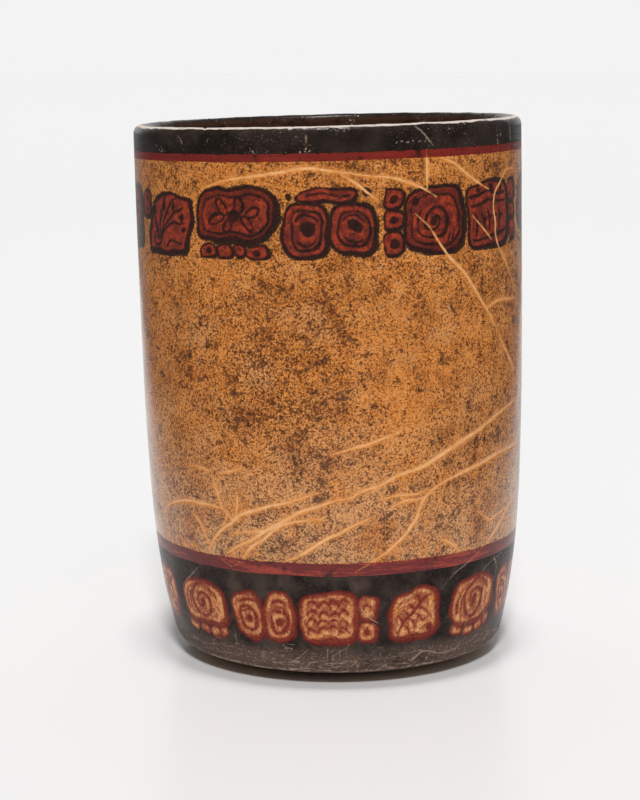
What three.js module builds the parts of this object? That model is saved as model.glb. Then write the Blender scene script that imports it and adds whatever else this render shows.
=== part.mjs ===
// A hand-built cylinder vase of fired clay, painted with coats of coloured slip.
//
// The potter pinches up the edge of a base disc, lays flattened coils of clay on it as courses, and
// closes the wall with a thin lip coil. Each bed joint slopes down towards the inside, so that a course
// nests in the one below. The coats of slip are separate layers on the outside of that wall.
// Millimetres, +Z up. The origin is the centre of the flat face that the vase stands on, and -Y is the
// side that faces the viewer.

import * as THREE from "three";

// Form of the clay
const vesselHeight = 191.4; // floor to the top of the painted lip, midway between its high and low sides
const bodyRadius = 68.25; // outside radius that the upper wall settles to
const footInset = 11.7; // how far the wall would have drawn in at floor level
const swellHeight = 33; // height over which most of that inset is lost

// Foot
const restRadius = 42; // the flat that rests on the floor, from whose rim the underside slopes up
const footEdgeHeight = 8.3; // the wall rounds in below this height
const footEdgeRadius = 5.3; // round between the wall and the sloping underside
const footEdgeEnd = 70; // degrees below the outward direction, where that round meets the underside

// Wall and floor
const baseThickness = 8;
const wallThicknessLow = 6.6; // wall at the foot
const wallThicknessHigh = 4.2; // wall under the lip
const coveRadius = 5; // round between the inside of the wall and the floor of the vase
const pinchedHeight = 7; // straight part of the base disc's pinched-up edge, above that round

// Courses
const courseCount = 6;
const lipCoilHeight = 13;
const bedDrop = 4; // how much lower each bed joint is on the inside of the wall than on the outside
const seam = 0.4; // slurry between two pieces of clay, measured straight up

// Slip
const slipThickness = 0.4;
const slipGap = 0.3; // between a coat and the clay, and between two coats
const rimBandHeight = 8.6; // black round the rim, on the outside
const rimBandInside = 12; // how far that black runs down inside the mouth
const upperLineWidth = 2.7;
const lowerLineTop = 45.4;
const lowerLineWidth = 4.6;

// What the hand left uneven
const rimLean = 3.1; // the mouth stands this far to the left of the foot
const rimDrop = 2.6; // the lip is this much lower on its left than on its right

// Facets
const turnSteps = 48;
const arcSteps = 4; // in each rounded edge
const levelRise = 0.2; // share by which each facet up the wall is taller than the one below it
const leastLevel = 1; // height of the lowest facet

const finishes = {
  clay: { color: 0x9c6b47, roughness: 0.85, metalness: 0 },
  black: { color: 0x2b2624, roughness: 0.45, metalness: 0 },
  red: { color: 0x7c2a24, roughness: 0.45, metalness: 0 },
  orange: { color: 0xc58445, roughness: 0.42, metalness: 0 },
};

const point = (radius, z) => new THREE.Vector2(radius, z);

// Outside radius of the clay wall, which flares quickly from the foot and then runs almost straight.
const clayRadius = (z) => bodyRadius - footInset * Math.exp(-z / swellHeight);

// Angle between the wall and the vertical, positive where the wall widens upwards.
const flare = (z) => Math.atan((footInset / swellHeight) * Math.exp(-z / swellHeight));

// The clay ends this high, because the coat over the lip makes up the rest of the height.
const clayTop = vesselHeight - slipGap - slipThickness;
const lipRadius = wallThicknessHigh / 2;
const lipSpring = clayTop - lipRadius;

const wallThickness = (z) => wallThicknessLow + (wallThicknessHigh - wallThicknessLow) * (z / lipSpring);
const insideRadius = (z) => clayRadius(z) - wallThickness(z);

// A point beside the wall at height z, raised square off the clay.
function besideWall(z, raised) {
  return point(clayRadius(z) + raised * Math.cos(flare(z)), z - raised * Math.sin(flare(z)));
}

// Heights from low to high for the facets of the wall, which stand closest where it curves most.
function levels(low, high) {
  const count = Math.ceil(Math.log(1 + high / swellHeight) / Math.log(1 + levelRise));
  const ladder = Array.from({ length: count }, (_, i) => swellHeight * ((1 + levelRise) ** i - 1));
  return [low, ...ladder.filter((z) => z > low + leastLevel && z < high - leastLevel), high];
}

// Points on an arc from one angle to another, in radians from the outward direction.
function arc(centre, radius, from, to, steps) {
  return Array.from({ length: steps + 1 }, (_, i) => {
    const angle = from + ((to - from) * i) / steps;
    return point(centre.x + radius * Math.cos(angle), centre.y + radius * Math.sin(angle));
  });
}

// The rounded lower edge of the wall, from the sloping underside up to where it meets the wall.
function footEdge(raised) {
  const centre = besideWall(footEdgeHeight, -footEdgeRadius);
  const start = THREE.MathUtils.degToRad(-footEdgeEnd);
  return arc(centre, footEdgeRadius + raised, start, -flare(footEdgeHeight), arcSteps);
}

// The half round over the lip, from the outside to the inside.
function lipRound(raised) {
  const centre = point(clayRadius(lipSpring) - lipRadius, lipSpring);
  return arc(centre, lipRadius + raised, 0, Math.PI, 2 * arcSteps);
}

// Moves a piece of the true, upright vase to where the potter's hand left it. The wall leans to the
// left and its levels slope with it, by nothing at the floor and by the full amount at the rim.
function asTheHandLeftIt(geometry) {
  const position = geometry.attributes.position;
  const slope = rimDrop / (2 * bodyRadius);
  for (let i = 0; i < position.count; i++) {
    const x = position.getX(i);
    const z = position.getZ(i);
    const rise = z / vesselHeight;
    position.setXYZ(i, x - rimLean * rise, position.getY(i), z + slope * x * rise);
  }
  geometry.computeVertexNormals();
  return geometry;
}

// A named piece turned from its section, which starts and ends on the axis or closes on itself.
function turned(name, finish, section) {
  const geometry = asTheHandLeftIt(new THREE.LatheGeometry(section, turnSteps).rotateX(Math.PI / 2));
  const mesh = new THREE.Mesh(geometry, new THREE.MeshStandardMaterial(finishes[finish]));
  mesh.name = name;
  return mesh;
}

const closed = (section) => [...section, section[0].clone()];

// The disc that the vase stands on, with its edge pinched up into the start of the wall.
function baseDisc(top) {
  const coveTop = baseThickness + coveRadius;
  const wallStart = levels(footEdgeHeight, top).slice(1);
  const cove = new THREE.QuadraticBezierCurve(
    point(insideRadius(coveTop), coveTop),
    point(insideRadius(baseThickness), baseThickness),
    point(insideRadius(baseThickness) - coveRadius, baseThickness),
  );
  return turned("base_disc", "clay", [
    point(0, 0),
    point(restRadius, 0),
    ...footEdge(0),
    ...wallStart.map((z) => besideWall(z, 0)),
    point(insideRadius(top - bedDrop), top - bedDrop),
    ...cove.getPoints(arcSteps),
    point(0, baseThickness),
  ]);
}

// One flattened coil, between its lower and upper bed joints, which are measured on the outside.
function wallCourse(number, low, high) {
  const outside = levels(low, high).map((z) => besideWall(z, 0));
  const inside = levels(low - bedDrop, high - bedDrop).map((z) => point(insideRadius(z), z));
  return turned(`wall_course_${number}`, "clay", closed([...outside, ...inside.reverse()]));
}

// The thin last coil, rounded over at the top.
function lipCoil(low) {
  const inside = point(insideRadius(low - bedDrop), low - bedDrop);
  return turned("lip_coil", "clay", closed([besideWall(low, 0), ...lipRound(0), inside]));
}

// A coat of slip from its inner and outer faces, each listed from the bottom up.
function coat(name, finish, face) {
  return turned(name, finish, closed([...face(slipGap + slipThickness), ...face(slipGap).reverse()]));
}

// The clean gap to the coat below is taken off the lower edge of each coat.
function wallCoat(name, finish, low, high) {
  return coat(name, finish, (raised) => levels(low + slipGap, high).map((z) => besideWall(z, raised)));
}

// The black of the rim, which runs up the outside, over the lip and some way down inside the mouth.
function rimCoat(low) {
  const end = vesselHeight - rimBandInside;
  return coat("black_rim_slip", "black", (raised) => [
    besideWall(low + slipGap, raised),
    ...lipRound(raised),
    point(insideRadius(end) - raised, end),
  ]);
}

// The black of the foot, which turns in with the wall's lower edge and stops where the underside starts.
function footCoat(high) {
  return coat("black_foot_slip", "black", (raised) => [
    ...footEdge(raised),
    ...levels(footEdgeHeight, high)
      .slice(1)
      .map((z) => besideWall(z, raised)),
  ]);
}

// The clay pieces from the floor up.
function clayBody() {
  const discTop = baseThickness + coveRadius + pinchedHeight + bedDrop;
  const lipBed = vesselHeight - lipCoilHeight;
  const courseHeight = (lipBed - discTop) / courseCount;
  const courses = Array.from({ length: courseCount }, (_, i) => {
    const low = discTop + i * courseHeight;
    return wallCourse(i + 1, low + seam, low + courseHeight);
  });
  return [baseDisc(discTop), ...courses, lipCoil(lipBed + seam)];
}

// The coats of slip from the rim down.
function paint() {
  const rimBandLow = vesselHeight - rimBandHeight;
  const upperLineLow = rimBandLow - upperLineWidth;
  const lowerLineLow = lowerLineTop - lowerLineWidth;
  return [
    rimCoat(rimBandLow),
    wallCoat("upper_red_line", "red", upperLineLow, rimBandLow),
    wallCoat("orange_ground_slip", "orange", lowerLineTop, upperLineLow),
    wallCoat("lower_red_line", "red", lowerLineLow, lowerLineTop),
    footCoat(lowerLineLow),
  ];
}

export default new THREE.Group().add(...clayBody(), ...paint());
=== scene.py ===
import math
import random

import bpy
from bpy.props import FloatProperty, FloatVectorProperty, IntProperty, PointerProperty
from mathutils import Matrix, Vector


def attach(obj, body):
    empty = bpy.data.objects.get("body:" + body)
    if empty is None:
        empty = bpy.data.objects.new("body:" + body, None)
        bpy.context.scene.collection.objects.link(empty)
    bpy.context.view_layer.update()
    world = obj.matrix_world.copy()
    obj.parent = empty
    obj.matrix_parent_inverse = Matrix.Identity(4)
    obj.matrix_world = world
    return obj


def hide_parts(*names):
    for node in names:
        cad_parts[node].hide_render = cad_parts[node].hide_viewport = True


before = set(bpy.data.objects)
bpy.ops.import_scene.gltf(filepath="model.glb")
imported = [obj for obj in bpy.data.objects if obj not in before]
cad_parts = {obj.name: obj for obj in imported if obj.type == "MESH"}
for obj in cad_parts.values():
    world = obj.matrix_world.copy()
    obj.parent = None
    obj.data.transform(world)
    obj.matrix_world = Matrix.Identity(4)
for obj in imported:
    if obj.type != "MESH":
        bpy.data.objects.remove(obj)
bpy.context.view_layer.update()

bl_info = {
    "name": "Painted cylinder vase",
    "version": (1, 0, 0),
    "blender": (4, 5, 0),
    "location": "3D View > Sidebar > Vase",
    "description": "Builds the finished surfaces of a hand-built, slip-painted cylinder vase",
    "category": "Object",
}

MM = 0.001
SECTION_GAP = 0.02 * MM  # between two finished coats, where the solids leave a wider one
COLUMN = 0.6 * MM  # width of a facet on the plain ground
FINE_COLUMN = 0.5 * MM  # and on a band with ornament
CLAY_COLUMN = 1.8 * MM
FAR = 50 * MM  # stands for the way to a stroke where there is none
STROKE_REACH = 0.34 * MM  # the paint of a stroke spreads this far past the ribbon that is drawn for it
FILL, INK, WASH = 0, 1, 2  # the paints of a drawn block
TREMOR = 2 * MM  # the hand's tremor moves a painted stroke by up to this much
TREMOR_LENGTH = 9 * MM  # and bends it over about this length
SHARP_EDGE = math.radians(40)  # facets that meet at more than this show an edge
FOOT_EDGE_END = math.radians(-70)  # the round of the foot ends at this angle to the outward direction
CHIPS_START = 0.5 * MM  # above the spring of the lip
UPPER_BAND_HALF = 12 * MM  # from the middle of the upper row down to where the finer facets start
BLOCK_TILT = math.radians(4)  # a painted block is turned by up to this much
BLOCK_SPREAD = (0.96, 1.03)  # least and greatest size of a painted block against its row
HATCHED = 2.6  # square millimetres of half width by half height to each stroke of hatching
CROWDING_LIFT = 0.09  # how far full crowding lifts the noise that specks are cut from
FIRED_IOR = 1.45  # index of refraction of the fired clay and slip
SKIN_ROUGHNESS = 0.12  # of the compact, glassy layer that burnishing leaves

# Places on the front where the specks of the orange ground crowd or thin out: the middle of each, and
# by what share. Besides the specks, they paint shade to the left of the front and light to its right.
SPECKS_AND_PAINTED_LIGHT = (
    ((-20 * MM, -65 * MM, 108 * MM), 0.45),
    ((25 * MM, -63 * MM, 112 * MM), -0.35),
)

# Gloss shows the floor pale within an oval that lies behind the vase, and dark as the room is past it.
PALE_OVAL = (2.2, 0.77, 0)  # one over half its width and over half its depth, in metres
PALE_OVAL_MIDDLE = (0, 0.69, 0)  # in those halves
PALE_OVAL_EDGE = (0.8, 1.1)  # where it starts to darken and where it has, in those halves


def length(name, description, default):
    """A size in metres that a user may change."""
    return FloatProperty(name=name, description=description, default=default, unit="LENGTH", precision=5)


def colour(name, description, code):
    """A finish's colour, written as sRGB hex."""
    return FloatVectorProperty(
        name=name, description=description, default=linear(code), size=4, subtype="COLOR", min=0, max=1
    )


def angle(name, description, degrees):
    """An angle that a user may change, given in degrees."""
    return FloatProperty(name=name, description=description, default=math.radians(degrees), unit="ROTATION")


def linear(code):
    """The linear red, green, blue and alpha of an sRGB hex colour."""
    shares = [int(code[i : i + 2], 16) / 255 for i in (0, 2, 4)]
    return (*[s / 12.92 if s <= 0.04045 else ((s + 0.055) / 1.055) ** 2.4 for s in shares], 1.0)


class VaseForm(bpy.types.PropertyGroup):
    """Sizes of the clay and its coats, as the solids have them, and depths of what hand and age left."""

    height: length("Height", "Floor to the top of the painted lip", 191.4 * MM)
    body_radius: length("Body radius", "Outside radius that the clay wall settles to", 68.25 * MM)
    foot_inset: length("Foot inset", "How far the wall would have drawn in at floor level", 11.7 * MM)
    swell_height: length("Swell height", "Height over which most of that inset is lost", 33 * MM)
    rest_radius: length("Resting flat", "Radius of the flat that rests on the floor", 42 * MM)
    foot_edge: length("Foot edge", "The wall rounds in below this height", 8.3 * MM)
    foot_edge_radius: length("Foot edge round", "Round between the wall and the underside", 5.3 * MM)
    base: length("Base", "Thickness of the base disc", 8 * MM)
    wall_low: length("Wall at the foot", "Thickness of the wall at the foot", 6.6 * MM)
    wall_high: length("Wall at the lip", "Thickness of the wall under the lip", 4.2 * MM)
    cove: length("Cove", "Round between the floor and the inside of the wall", 5 * MM)
    pinched: length("Pinched edge", "Straight part of the base disc's edge", 7 * MM)
    courses: IntProperty(name="Courses", description="Flattened coils in the wall", default=6, min=1)
    lip_coil: length("Lip coil", "Height of the last coil", 13 * MM)
    bed_drop: length("Bed drop", "How much lower a bed joint is on the inside", 4 * MM)
    slip_under: length("Slip underside", "From the clay to the underside of a coat", 0.3 * MM)
    slip_face: length("Slip face", "From the clay to the face of a coat", 0.7 * MM)
    rim_band: length("Rim band", "Height of the black round the rim", 8.6 * MM)
    rim_inside: length("Rim band inside", "How far that black runs down the inside", 12 * MM)
    upper_line: length("Upper line", "Height of the upper red line", 2.7 * MM)
    lower_line_top: length("Lower line top", "Top of the lower red line", 45.4 * MM)
    lower_line: length("Lower line", "Height of the lower red line", 4.6 * MM)
    rim_lean: length("Rim lean", "How far the mouth stands to the left of the foot", 3.1 * MM)
    rim_drop: length("Rim drop", "How much lower the lip is on its left", 2.6 * MM)
    unevenness: length("Unevenness", "Depth of the hollows that the hand left", 0.35 * MM)
    wander: length("Wander", "How far a painted edge strays", 0.6 * MM)
    etching: length("Etching", "Depth to which roots have etched the slip", 0.08 * MM)
    chips: length("Chips", "Depth of the chips along the lip", 0.9 * MM)


class VaseColours(bpy.types.PropertyGroup):
    """Colours of the clay and the slips."""

    clay: colour("Clay", "Bare fired clay", "A5805C")
    clay_stain: colour("Stained clay", "Clay that has taken up dirt", "5A4334")
    # The dark brown inside: dirt, with painted shade of the deep inside in it.
    inside: colour("Inside", "Darkened clay inside the vase", "4A3224")
    orange: colour("Orange slip", "Orange ground", "F29A48")
    orange_deep: colour("Deep orange slip", "Where the orange lies thicker", "D67A2C")
    orange_thin: colour("Thin orange slip", "Where the orange is worn thin", "EAB078")
    grain: colour("Grains", "Fine brown mineral grains", "7E420E")
    speck: colour("Specks", "Dark mineral specks", "5E2E0A")
    stain: colour("Stains", "Soft brown stain from the soil", "965620")
    blotch: colour("Blotches", "Clusters of dark stain", "4A2A1A")
    purple: colour("Purple dots", "Scattered purplish dots", "5A2C2E")
    root: colour("Root marks", "Where roots have etched the slip", "F4A860")
    root_core: colour("Root cores", "Where they have etched it through", "FFCA92")
    red: colour("Red slip", "Red lines", "8E2A20")
    maroon: colour("Maroon slip", "Where the red lines are dark", "702A2C")
    red_streak: colour("Red streaks", "Where the brush left the red thin", "B4483A")
    red_fill: colour("Red fill", "Red of the upper blocks", "AC3A20")
    vermilion: colour("Bright red", "Bright spots in that red", "C04A1E")
    red_shade: colour("Red shade", "Dark mottling of that red", "5C1E1A")
    orange_fill: colour("Orange fill", "Orange of the lower blocks", "E89E66")
    orange_light: colour("Light orange", "Light strokes in that orange", "F4B67E")
    red_wash: colour("Red wash", "Thin red strokes in the lower blocks", "A04C36")
    red_brown: colour("Red-brown", "Outlines of the lower blocks", "7A2622")
    black: colour("Black slip", "Black bands and outlines", "1F1714")
    charcoal: colour("Worn black slip", "Where the black is thin", "4B3F39")
    foot_worn: colour("Rubbed foot", "Grey-brown of the black rubbed thin", "665148")
    worn: colour("Worn edge", "Clay that shows where the slip is rubbed off", "C9AE96")
    # Pale crest of the lip: clay worn through the black, and painted paler still as a highlight.
    lip: colour("Worn lip", "Pale crest of the lip", "E4D4C8")


class VaseOrnament(bpy.types.PropertyGroup):
    """Layout of the two rows of painted blocks."""

    upper_height: length("Upper row", "Middle of the upper row of blocks", 159.9 * MM)
    lower_height: length("Lower row", "Middle of the lower row of blocks", 25.4 * MM)
    upper_count: IntProperty(name="Upper blocks", description="Blocks in the upper row", default=13, min=1)
    upper_size: FloatProperty(name="Upper size", description="Size against the drawn blocks", default=1.12)
    lower_count: IntProperty(name="Lower blocks", description="Blocks in the lower row", default=15, min=1)
    lower_size: FloatProperty(name="Lower size", description="Size against the drawn blocks", default=1.12)
    seed: IntProperty(name="Seed", description="Fixes the tilts of the blocks and the roots' way", default=5)


class VaseStage(bpy.types.PropertyGroup):
    """The camera, as the outline in the photograph places it, and the floor and lights."""

    camera_place: FloatVectorProperty(
        name="Camera",
        description="Place of the camera",
        default=(-6.3 * MM, -760.96 * MM, 214.92 * MM),
        subtype="TRANSLATION",
        unit="LENGTH",
    )
    pitch: angle("Pitch", "How far it looks down", 9.32)
    roll: angle("Roll", "How far it is tipped", -0.41)
    lens: FloatProperty(name="Lens", description="Focal length", default=95.53, unit="CAMERA")
    floor_half: length("Floor", "Half the width of the floor", 20)
    paper: colour("Paper", "Floor and background", "F3F3F3")
    dome: FloatProperty(name="Dome", description="Even light from all round", default=0.1)
    glow: FloatProperty(
        name="Glow", description="Light that a pale wall throws back from the right", default=0.34
    )
    glow_round: angle("Glow turn", "To the right of the front", 18)
    backdrop: FloatProperty(
        name="Backdrop", description="Light that the paper behind throws forward", default=0.4
    )
    room: FloatProperty(name="Room", description="What gloss shows of the room before the vase", default=0.1)
    key_tilt: angle("Softbox tilt", "From straight overhead towards the front", 4)
    key_round: angle("Softbox turn", "To the right of the front", 0)
    key_spread: angle("Softbox spread", "How large it looks from the vase", 8)
    key_power: FloatProperty(name="Softbox power", description="Light from the softbox", default=1.15)
    fill_tilt: angle("Fill tilt", "From straight overhead towards the front", 40)
    fill_round: angle("Fill turn", "To the right of the front", 0)
    fill_spread: angle("Fill spread", "How large it looks from the vase", 9)
    fill_power: FloatProperty(name="Fill power", description="Light from the front", default=1.8)


def sizes():
    """The form of the vase, as it is set in the panel."""
    return bpy.context.scene.vase_form


def colours():
    """Its colours, as they are set in the panel."""
    return bpy.context.scene.vase_colours


def clay_radius(height):
    """Outside radius of the clay wall."""
    form = sizes()
    return form.body_radius - form.foot_inset * math.exp(-height / form.swell_height)


def flare(height):
    """Angle of the wall from the vertical."""
    form = sizes()
    return math.atan(form.foot_inset / form.swell_height * math.exp(-height / form.swell_height))


def lip_spring():
    """Height at which the clay starts to round over at the lip."""
    form = sizes()
    return form.height - form.slip_face - form.wall_high / 2


def inside_radius(height):
    """Radius of the inside of the clay wall."""
    form = sizes()
    thickness = form.wall_low + (form.wall_high - form.wall_low) * height / lip_spring()
    return clay_radius(height) - thickness


def beside_wall(height, raised):
    """A point of a section beside the wall, raised square off the clay."""
    lean = flare(height)
    return clay_radius(height) + raised * math.cos(lean), height - raised * math.sin(lean)


def evenly(low, high, step):
    """Values from low to high, no further apart than step."""
    count = max(1, math.ceil(abs(high - low) / step))
    return [low + (high - low) * i / count for i in range(count + 1)]


def arc(centre, radius, start, end, step):
    """Points of a section on an arc, from angle to angle, measured from the outward direction."""
    turns = evenly(start, end, step / radius)
    return [(centre[0] + radius * math.cos(a), centre[1] + radius * math.sin(a)) for a in turns]


def foot_edge(raised, step):
    """The rounded lower edge of the wall, from the underside up to where it meets the wall."""
    form = sizes()
    centre = beside_wall(form.foot_edge, -form.foot_edge_radius)
    return arc(centre, form.foot_edge_radius + raised, FOOT_EDGE_END, -flare(form.foot_edge), step)


def lip_round(raised, step):
    """The half round over the lip, from the outside to the inside."""
    radius = sizes().wall_high / 2
    centre = clay_radius(lip_spring()) - radius, lip_spring()
    return arc(centre, radius + raised, 0, math.pi, step)


def inner_wall(low, high, raised, step):
    """The inside of the wall, from high to low."""
    return [(inside_radius(z) - raised, z) for z in evenly(high, low, step)]


def closed(section):
    """The section with its first point again at its end."""
    return [*section, section[0]]


def wall_coat(low, high, step, inner_step=8 * MM):
    """The closed section of a band of slip on the outside of the wall."""
    form = sizes()
    outer = [beside_wall(z, form.slip_face) for z in evenly(low, high, step)]
    inner = [beside_wall(z, form.slip_under) for z in evenly(high, low, inner_step)]
    return closed([*outer, *inner])


def add_node(tree, kind, feeds=None, **settings):
    """Adds a node with its settings, and feeds its inputs with values or other nodes' outputs."""
    node = tree.nodes.new(kind)
    for name, value in settings.items():
        setattr(node, name, value)
    for key, value in (feeds or {}).items():
        if isinstance(value, bpy.types.NodeSocket):
            tree.links.new(value, node.inputs[key])
        else:
            node.inputs[key].default_value = value
    return node


def new_tree(name, inputs):
    """A geometry tree with named inputs, given as name and kind of socket."""
    tree = bpy.data.node_groups.new(name, "GeometryNodeTree")
    tree.interface.new_socket(name="Geometry", in_out="OUTPUT", socket_type="NodeSocketGeometry")
    for title, kind in inputs.items():
        tree.interface.new_socket(name=title, in_out="INPUT", socket_type=f"NodeSocket{kind}")
    return tree


def made(name, tree, values):
    """Runs a geometry tree with these inputs and returns its result as a plain mesh object."""
    holder = bpy.data.objects.new(name + "_holder", bpy.data.meshes.new(name + "_holder"))
    bpy.context.scene.collection.objects.link(holder)
    modifier = holder.modifiers.new(name, "NODES")
    modifier.node_group = tree
    for socket in tree.interface.items_tree:
        if socket.in_out == "INPUT" and socket.name in values:
            modifier[socket.identifier] = values[socket.name]
    depsgraph = bpy.context.evaluated_depsgraph_get()
    mesh = bpy.data.meshes.new_from_object(
        holder.evaluated_get(depsgraph), preserve_all_data_layers=True, depsgraph=depsgraph
    )
    piece = bpy.data.objects.new(name, mesh)
    bpy.context.scene.collection.objects.link(piece)
    bpy.data.objects.remove(holder)
    if not mesh.polygons:
        raise RuntimeError(f"{name} came out empty")
    return piece


def helper(name, points, edges=(), faces=()):
    """A plain mesh object, such as the floor or what a geometry tree reads and is then removed."""
    mesh = bpy.data.meshes.new(name)
    mesh.from_pydata(points, edges, faces)
    thing = bpy.data.objects.new(name, mesh)
    bpy.context.scene.collection.objects.link(thing)
    return thing


def ring(x, y, half_width, half_height, power=2.0, turn=0.0, corners=40):
    """Corners of an oval, which a higher power makes squarer, turned by an angle."""
    points = []
    for i in range(corners):
        cosine, sine = math.cos(math.tau * i / corners), math.sin(math.tau * i / corners)
        across = half_width * math.copysign(abs(cosine) ** (2 / power), cosine)
        up = half_height * math.copysign(abs(sine) ** (2 / power), sine)
        points.append(
            (
                x + across * math.cos(turn) - up * math.sin(turn),
                y + across * math.sin(turn) + up * math.cos(turn),
            )
        )
    return points


def bow(start, end, rise, corners=10):
    """Corners of a curved line between two points, whose middle stands out to its left by the rise."""
    (x0, y0), (x1, y1) = start, end
    span = math.dist(start, end)
    points = []
    for i in range(corners + 1):
        share = i / corners
        out = 4 * rise * share * (1 - share) / span
        points.append((x0 + (x1 - x0) * share - (y1 - y0) * out, y0 + (y1 - y0) * share + (x1 - x0) * out))
    return points


def coil(x, y, outer, inner, turns, start, corners=44):
    """Corners of a spiral from its outer end, at an angle, in to its inner end."""
    points = []
    for i in range(corners + 1):
        share = i / corners
        radius = outer + (inner - outer) * share
        angle = start + math.tau * turns * share
        points.append((x + radius * math.cos(angle), y + radius * math.sin(angle)))
    return points


def flowing(points, step):
    """Corners of a smooth line through the given ones, a step apart."""
    ends = [points[0], *points, points[-1]]
    line = []
    for before, start, end, after in zip(ends, ends[1:], ends[2:], ends[3:]):
        count = max(1, round(math.dist(start, end) / step))
        for i in range(count):
            t = i / count
            line.append(
                tuple(
                    start[k]
                    + 0.5 * t * (end[k] - before[k])
                    + t * t * (before[k] - 2.5 * start[k] + 2 * end[k] - 0.5 * after[k])
                    + t * t * t * (1.5 * (start[k] - end[k]) + 0.5 * (after[k] - before[k]))
                    for k in (0, 1)
                )
            )
    return [*line, points[-1]]


class Drawing:
    """Paint on the flat, in millimetres: patches, and brush strokes that swell in the middle."""

    def __init__(self, name):
        self.name, self.corners, self.faces, self.paints = name, [], [], []

    def patch(self, outline, paint=INK):
        first = len(self.corners)
        self.corners += outline
        self.faces.append(range(first, first + len(outline)))
        self.paints.append(paint)

    def stroke(self, line, width, tips=0.55, whole=False, paint=INK):
        """A stroke along a line, or round a whole outline, where it swells to the lower right."""
        reach = STROKE_REACH / MM
        count = len(line)
        first = len(self.corners)
        for i, (x, y) in enumerate(line):
            if whole:
                before, after = line[i - 1], line[(i + 1) % count]
                swell = 0.97 + 0.3 * math.cos(math.tau * i / count + math.pi / 4)
            else:
                before, after = line[max(i - 1, 0)], line[min(i + 1, count - 1)]
                swell = tips + (1 - tips) * math.sin(math.pi * i / (count - 1))
            span = max(math.dist(before, after), 1e-6)
            half = max(0.5 * width * swell - reach, 0.04)
            out = half * (after[1] - before[1]) / span, half * (before[0] - after[0]) / span
            self.corners += [(x + out[0], y + out[1]), (x - out[0], y - out[1])]
        for i in range(count if whole else count - 1):
            a, b = first + 2 * i, first + 2 * ((i + 1) % count)
            self.faces.append((a, a + 1, b + 1, b))
            self.paints.append(paint)

    def dot(self, x, y, radius, paint=INK):
        self.patch(ring(x, y, radius, radius, corners=14), paint)

    def hatching(self, x, y, half_width, half_height):
        """Short strokes of a darker wash, laid round the middle of a filled shape."""
        chance = random.Random(len(self.corners))
        for _ in range(round(half_width * half_height / HATCHED)):
            start, turn = chance.uniform(0, math.tau), chance.uniform(0.3, 0.8)
            share, draw_in = chance.uniform(0.25, 0.85), chance.uniform(-0.15, 0.1)
            line = []
            for i in range(6):
                angle, out = start + turn * i / 5, share + draw_in * i / 5
                across, up = half_width * out * math.cos(angle), half_height * out * math.sin(angle)
                line.append((x + across, y + up))
            self.stroke(line, chance.uniform(0.8, 1.5), 0.4, paint=WASH)

    def cartouche(self, x, y, half_width, half_height, line=1.2, power=3.0, turn=0.0, inset=0.0):
        """A filled, outlined and shaded shape that the ornament stands in."""
        outline = ring(x, y, half_width, half_height, power, turn)
        self.patch(outline, FILL)
        self.stroke(outline, line, whole=True)
        self.hatching(x, y, half_width, half_height)
        if inset:
            shade = ring(x, y, half_width - 0.6 * inset, half_height - 0.6 * inset, power, turn)
            self.stroke(shade, 1.4, whole=True, paint=WASH)
            self.stroke(ring(x, y, half_width - inset, half_height - inset, power, turn), 0.9, whole=True)

    def thing(self):
        """The drawing as an object whose faces keep their paint."""
        thing = helper(
            self.name, [(x * MM, y * MM, 0) for x, y in self.corners], (), [tuple(f) for f in self.faces]
        )
        thing.data.attributes.new("paint", "INT", "FACE").data.foreach_set("value", self.paints)
        return thing


def coil_block():
    """A spiral in a rounded square, with three lobes beside it."""
    block = Drawing("coil_block")
    for y, half in ((6.6, 3.0), (0.2, 2.9), (-6.4, 3.2)):
        block.cartouche(-10.9, y, 3.0, half, 1.1)
        block.dot(-10.7, y, 1.1)
    block.cartouche(3.3, 0, 10.7, 9.7, 2.0, 3.8, inset=2.3)
    block.stroke(coil(3.0, -0.3, 6.3, 1.4, 1.8, 2.5), 1.3)
    block.dot(3.0, -0.3, 1.2)
    block.dot(-3.6, 6.0, 1.0)
    for x in (7.8, 9.4):
        block.stroke([(x, -7.0 + 0.6 * (x - 7.6)), (x + 0.4, -4.2 + 0.6 * (x - 7.6))], 1.0)
    return block


def petal_block():
    """Six petals round a ring, over a row of beads."""
    block = Drawing("petal_block")
    block.cartouche(0.2, 2.6, 13.4, 7.7, 1.9, 3.1, inset=2.1)
    for i in range(6):
        angle = math.tau * (i + 0.25) / 6
        petal = ring(0.2 + 6.0 * math.cos(angle), 2.6 + 3.1 * math.sin(angle), 2.5, 1.3, 2, angle, 18)
        block.stroke(petal, 0.9, whole=True)
    block.dot(0.2, 2.6, 1.9)
    for x, half in ((-9.6, 3.0), (-3.8, 2.5), (1.6, 2.3), (7.4, 3.1)):
        block.cartouche(x, -8.0, half, 2.1, 1.1)
    block.dot(-9.6, -8.0, 0.8)
    block.dot(7.4, -8.0, 0.9)
    return block


def step_block():
    """A stepped line under bows, with two discs in a crescent beside it."""
    block = Drawing("step_block")
    crescent = [*bow((-7.8, 9.6), (-7.8, -9.6), -6.2), *bow((-7.4, -9.0), (-7.4, 9.0), 1.2)]
    block.patch(crescent, FILL)
    block.stroke(bow((-7.6, 9.6), (-7.6, -9.6), -6.2), 1.3)
    block.dot(-10.0, 4.2, 2.5)
    block.dot(-10.0, -4.4, 2.2)
    for i in range(4):
        block.dot(-11.6 + 2.0 * i, 9.2 + 0.25 * i, 0.75)
    block.cartouche(3.4, 0, 10.4, 9.6, 2.0, 4.8, inset=2.1)
    steps = [(-4.6, -5.6), (-1.8, -5.6), (-1.8, -2.4), (1.4, -2.4), (1.4, 0.8), (4.6, 0.8)]
    block.stroke([*steps, (4.6, 4.0), (9.6, 4.0)], 1.4, 0.8)
    block.stroke([(x + 2.6, y - 2.7) for x, y in steps], 1.0, 0.8)
    block.stroke(bow((-4.2, 6.0), (2.6, 6.0), -3.0), 1.1)
    block.stroke(bow((-3.2, 6.2), (1.6, 6.2), -1.3), 0.8)
    block.dot(9.2, -4.6, 1.5)
    return block


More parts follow.
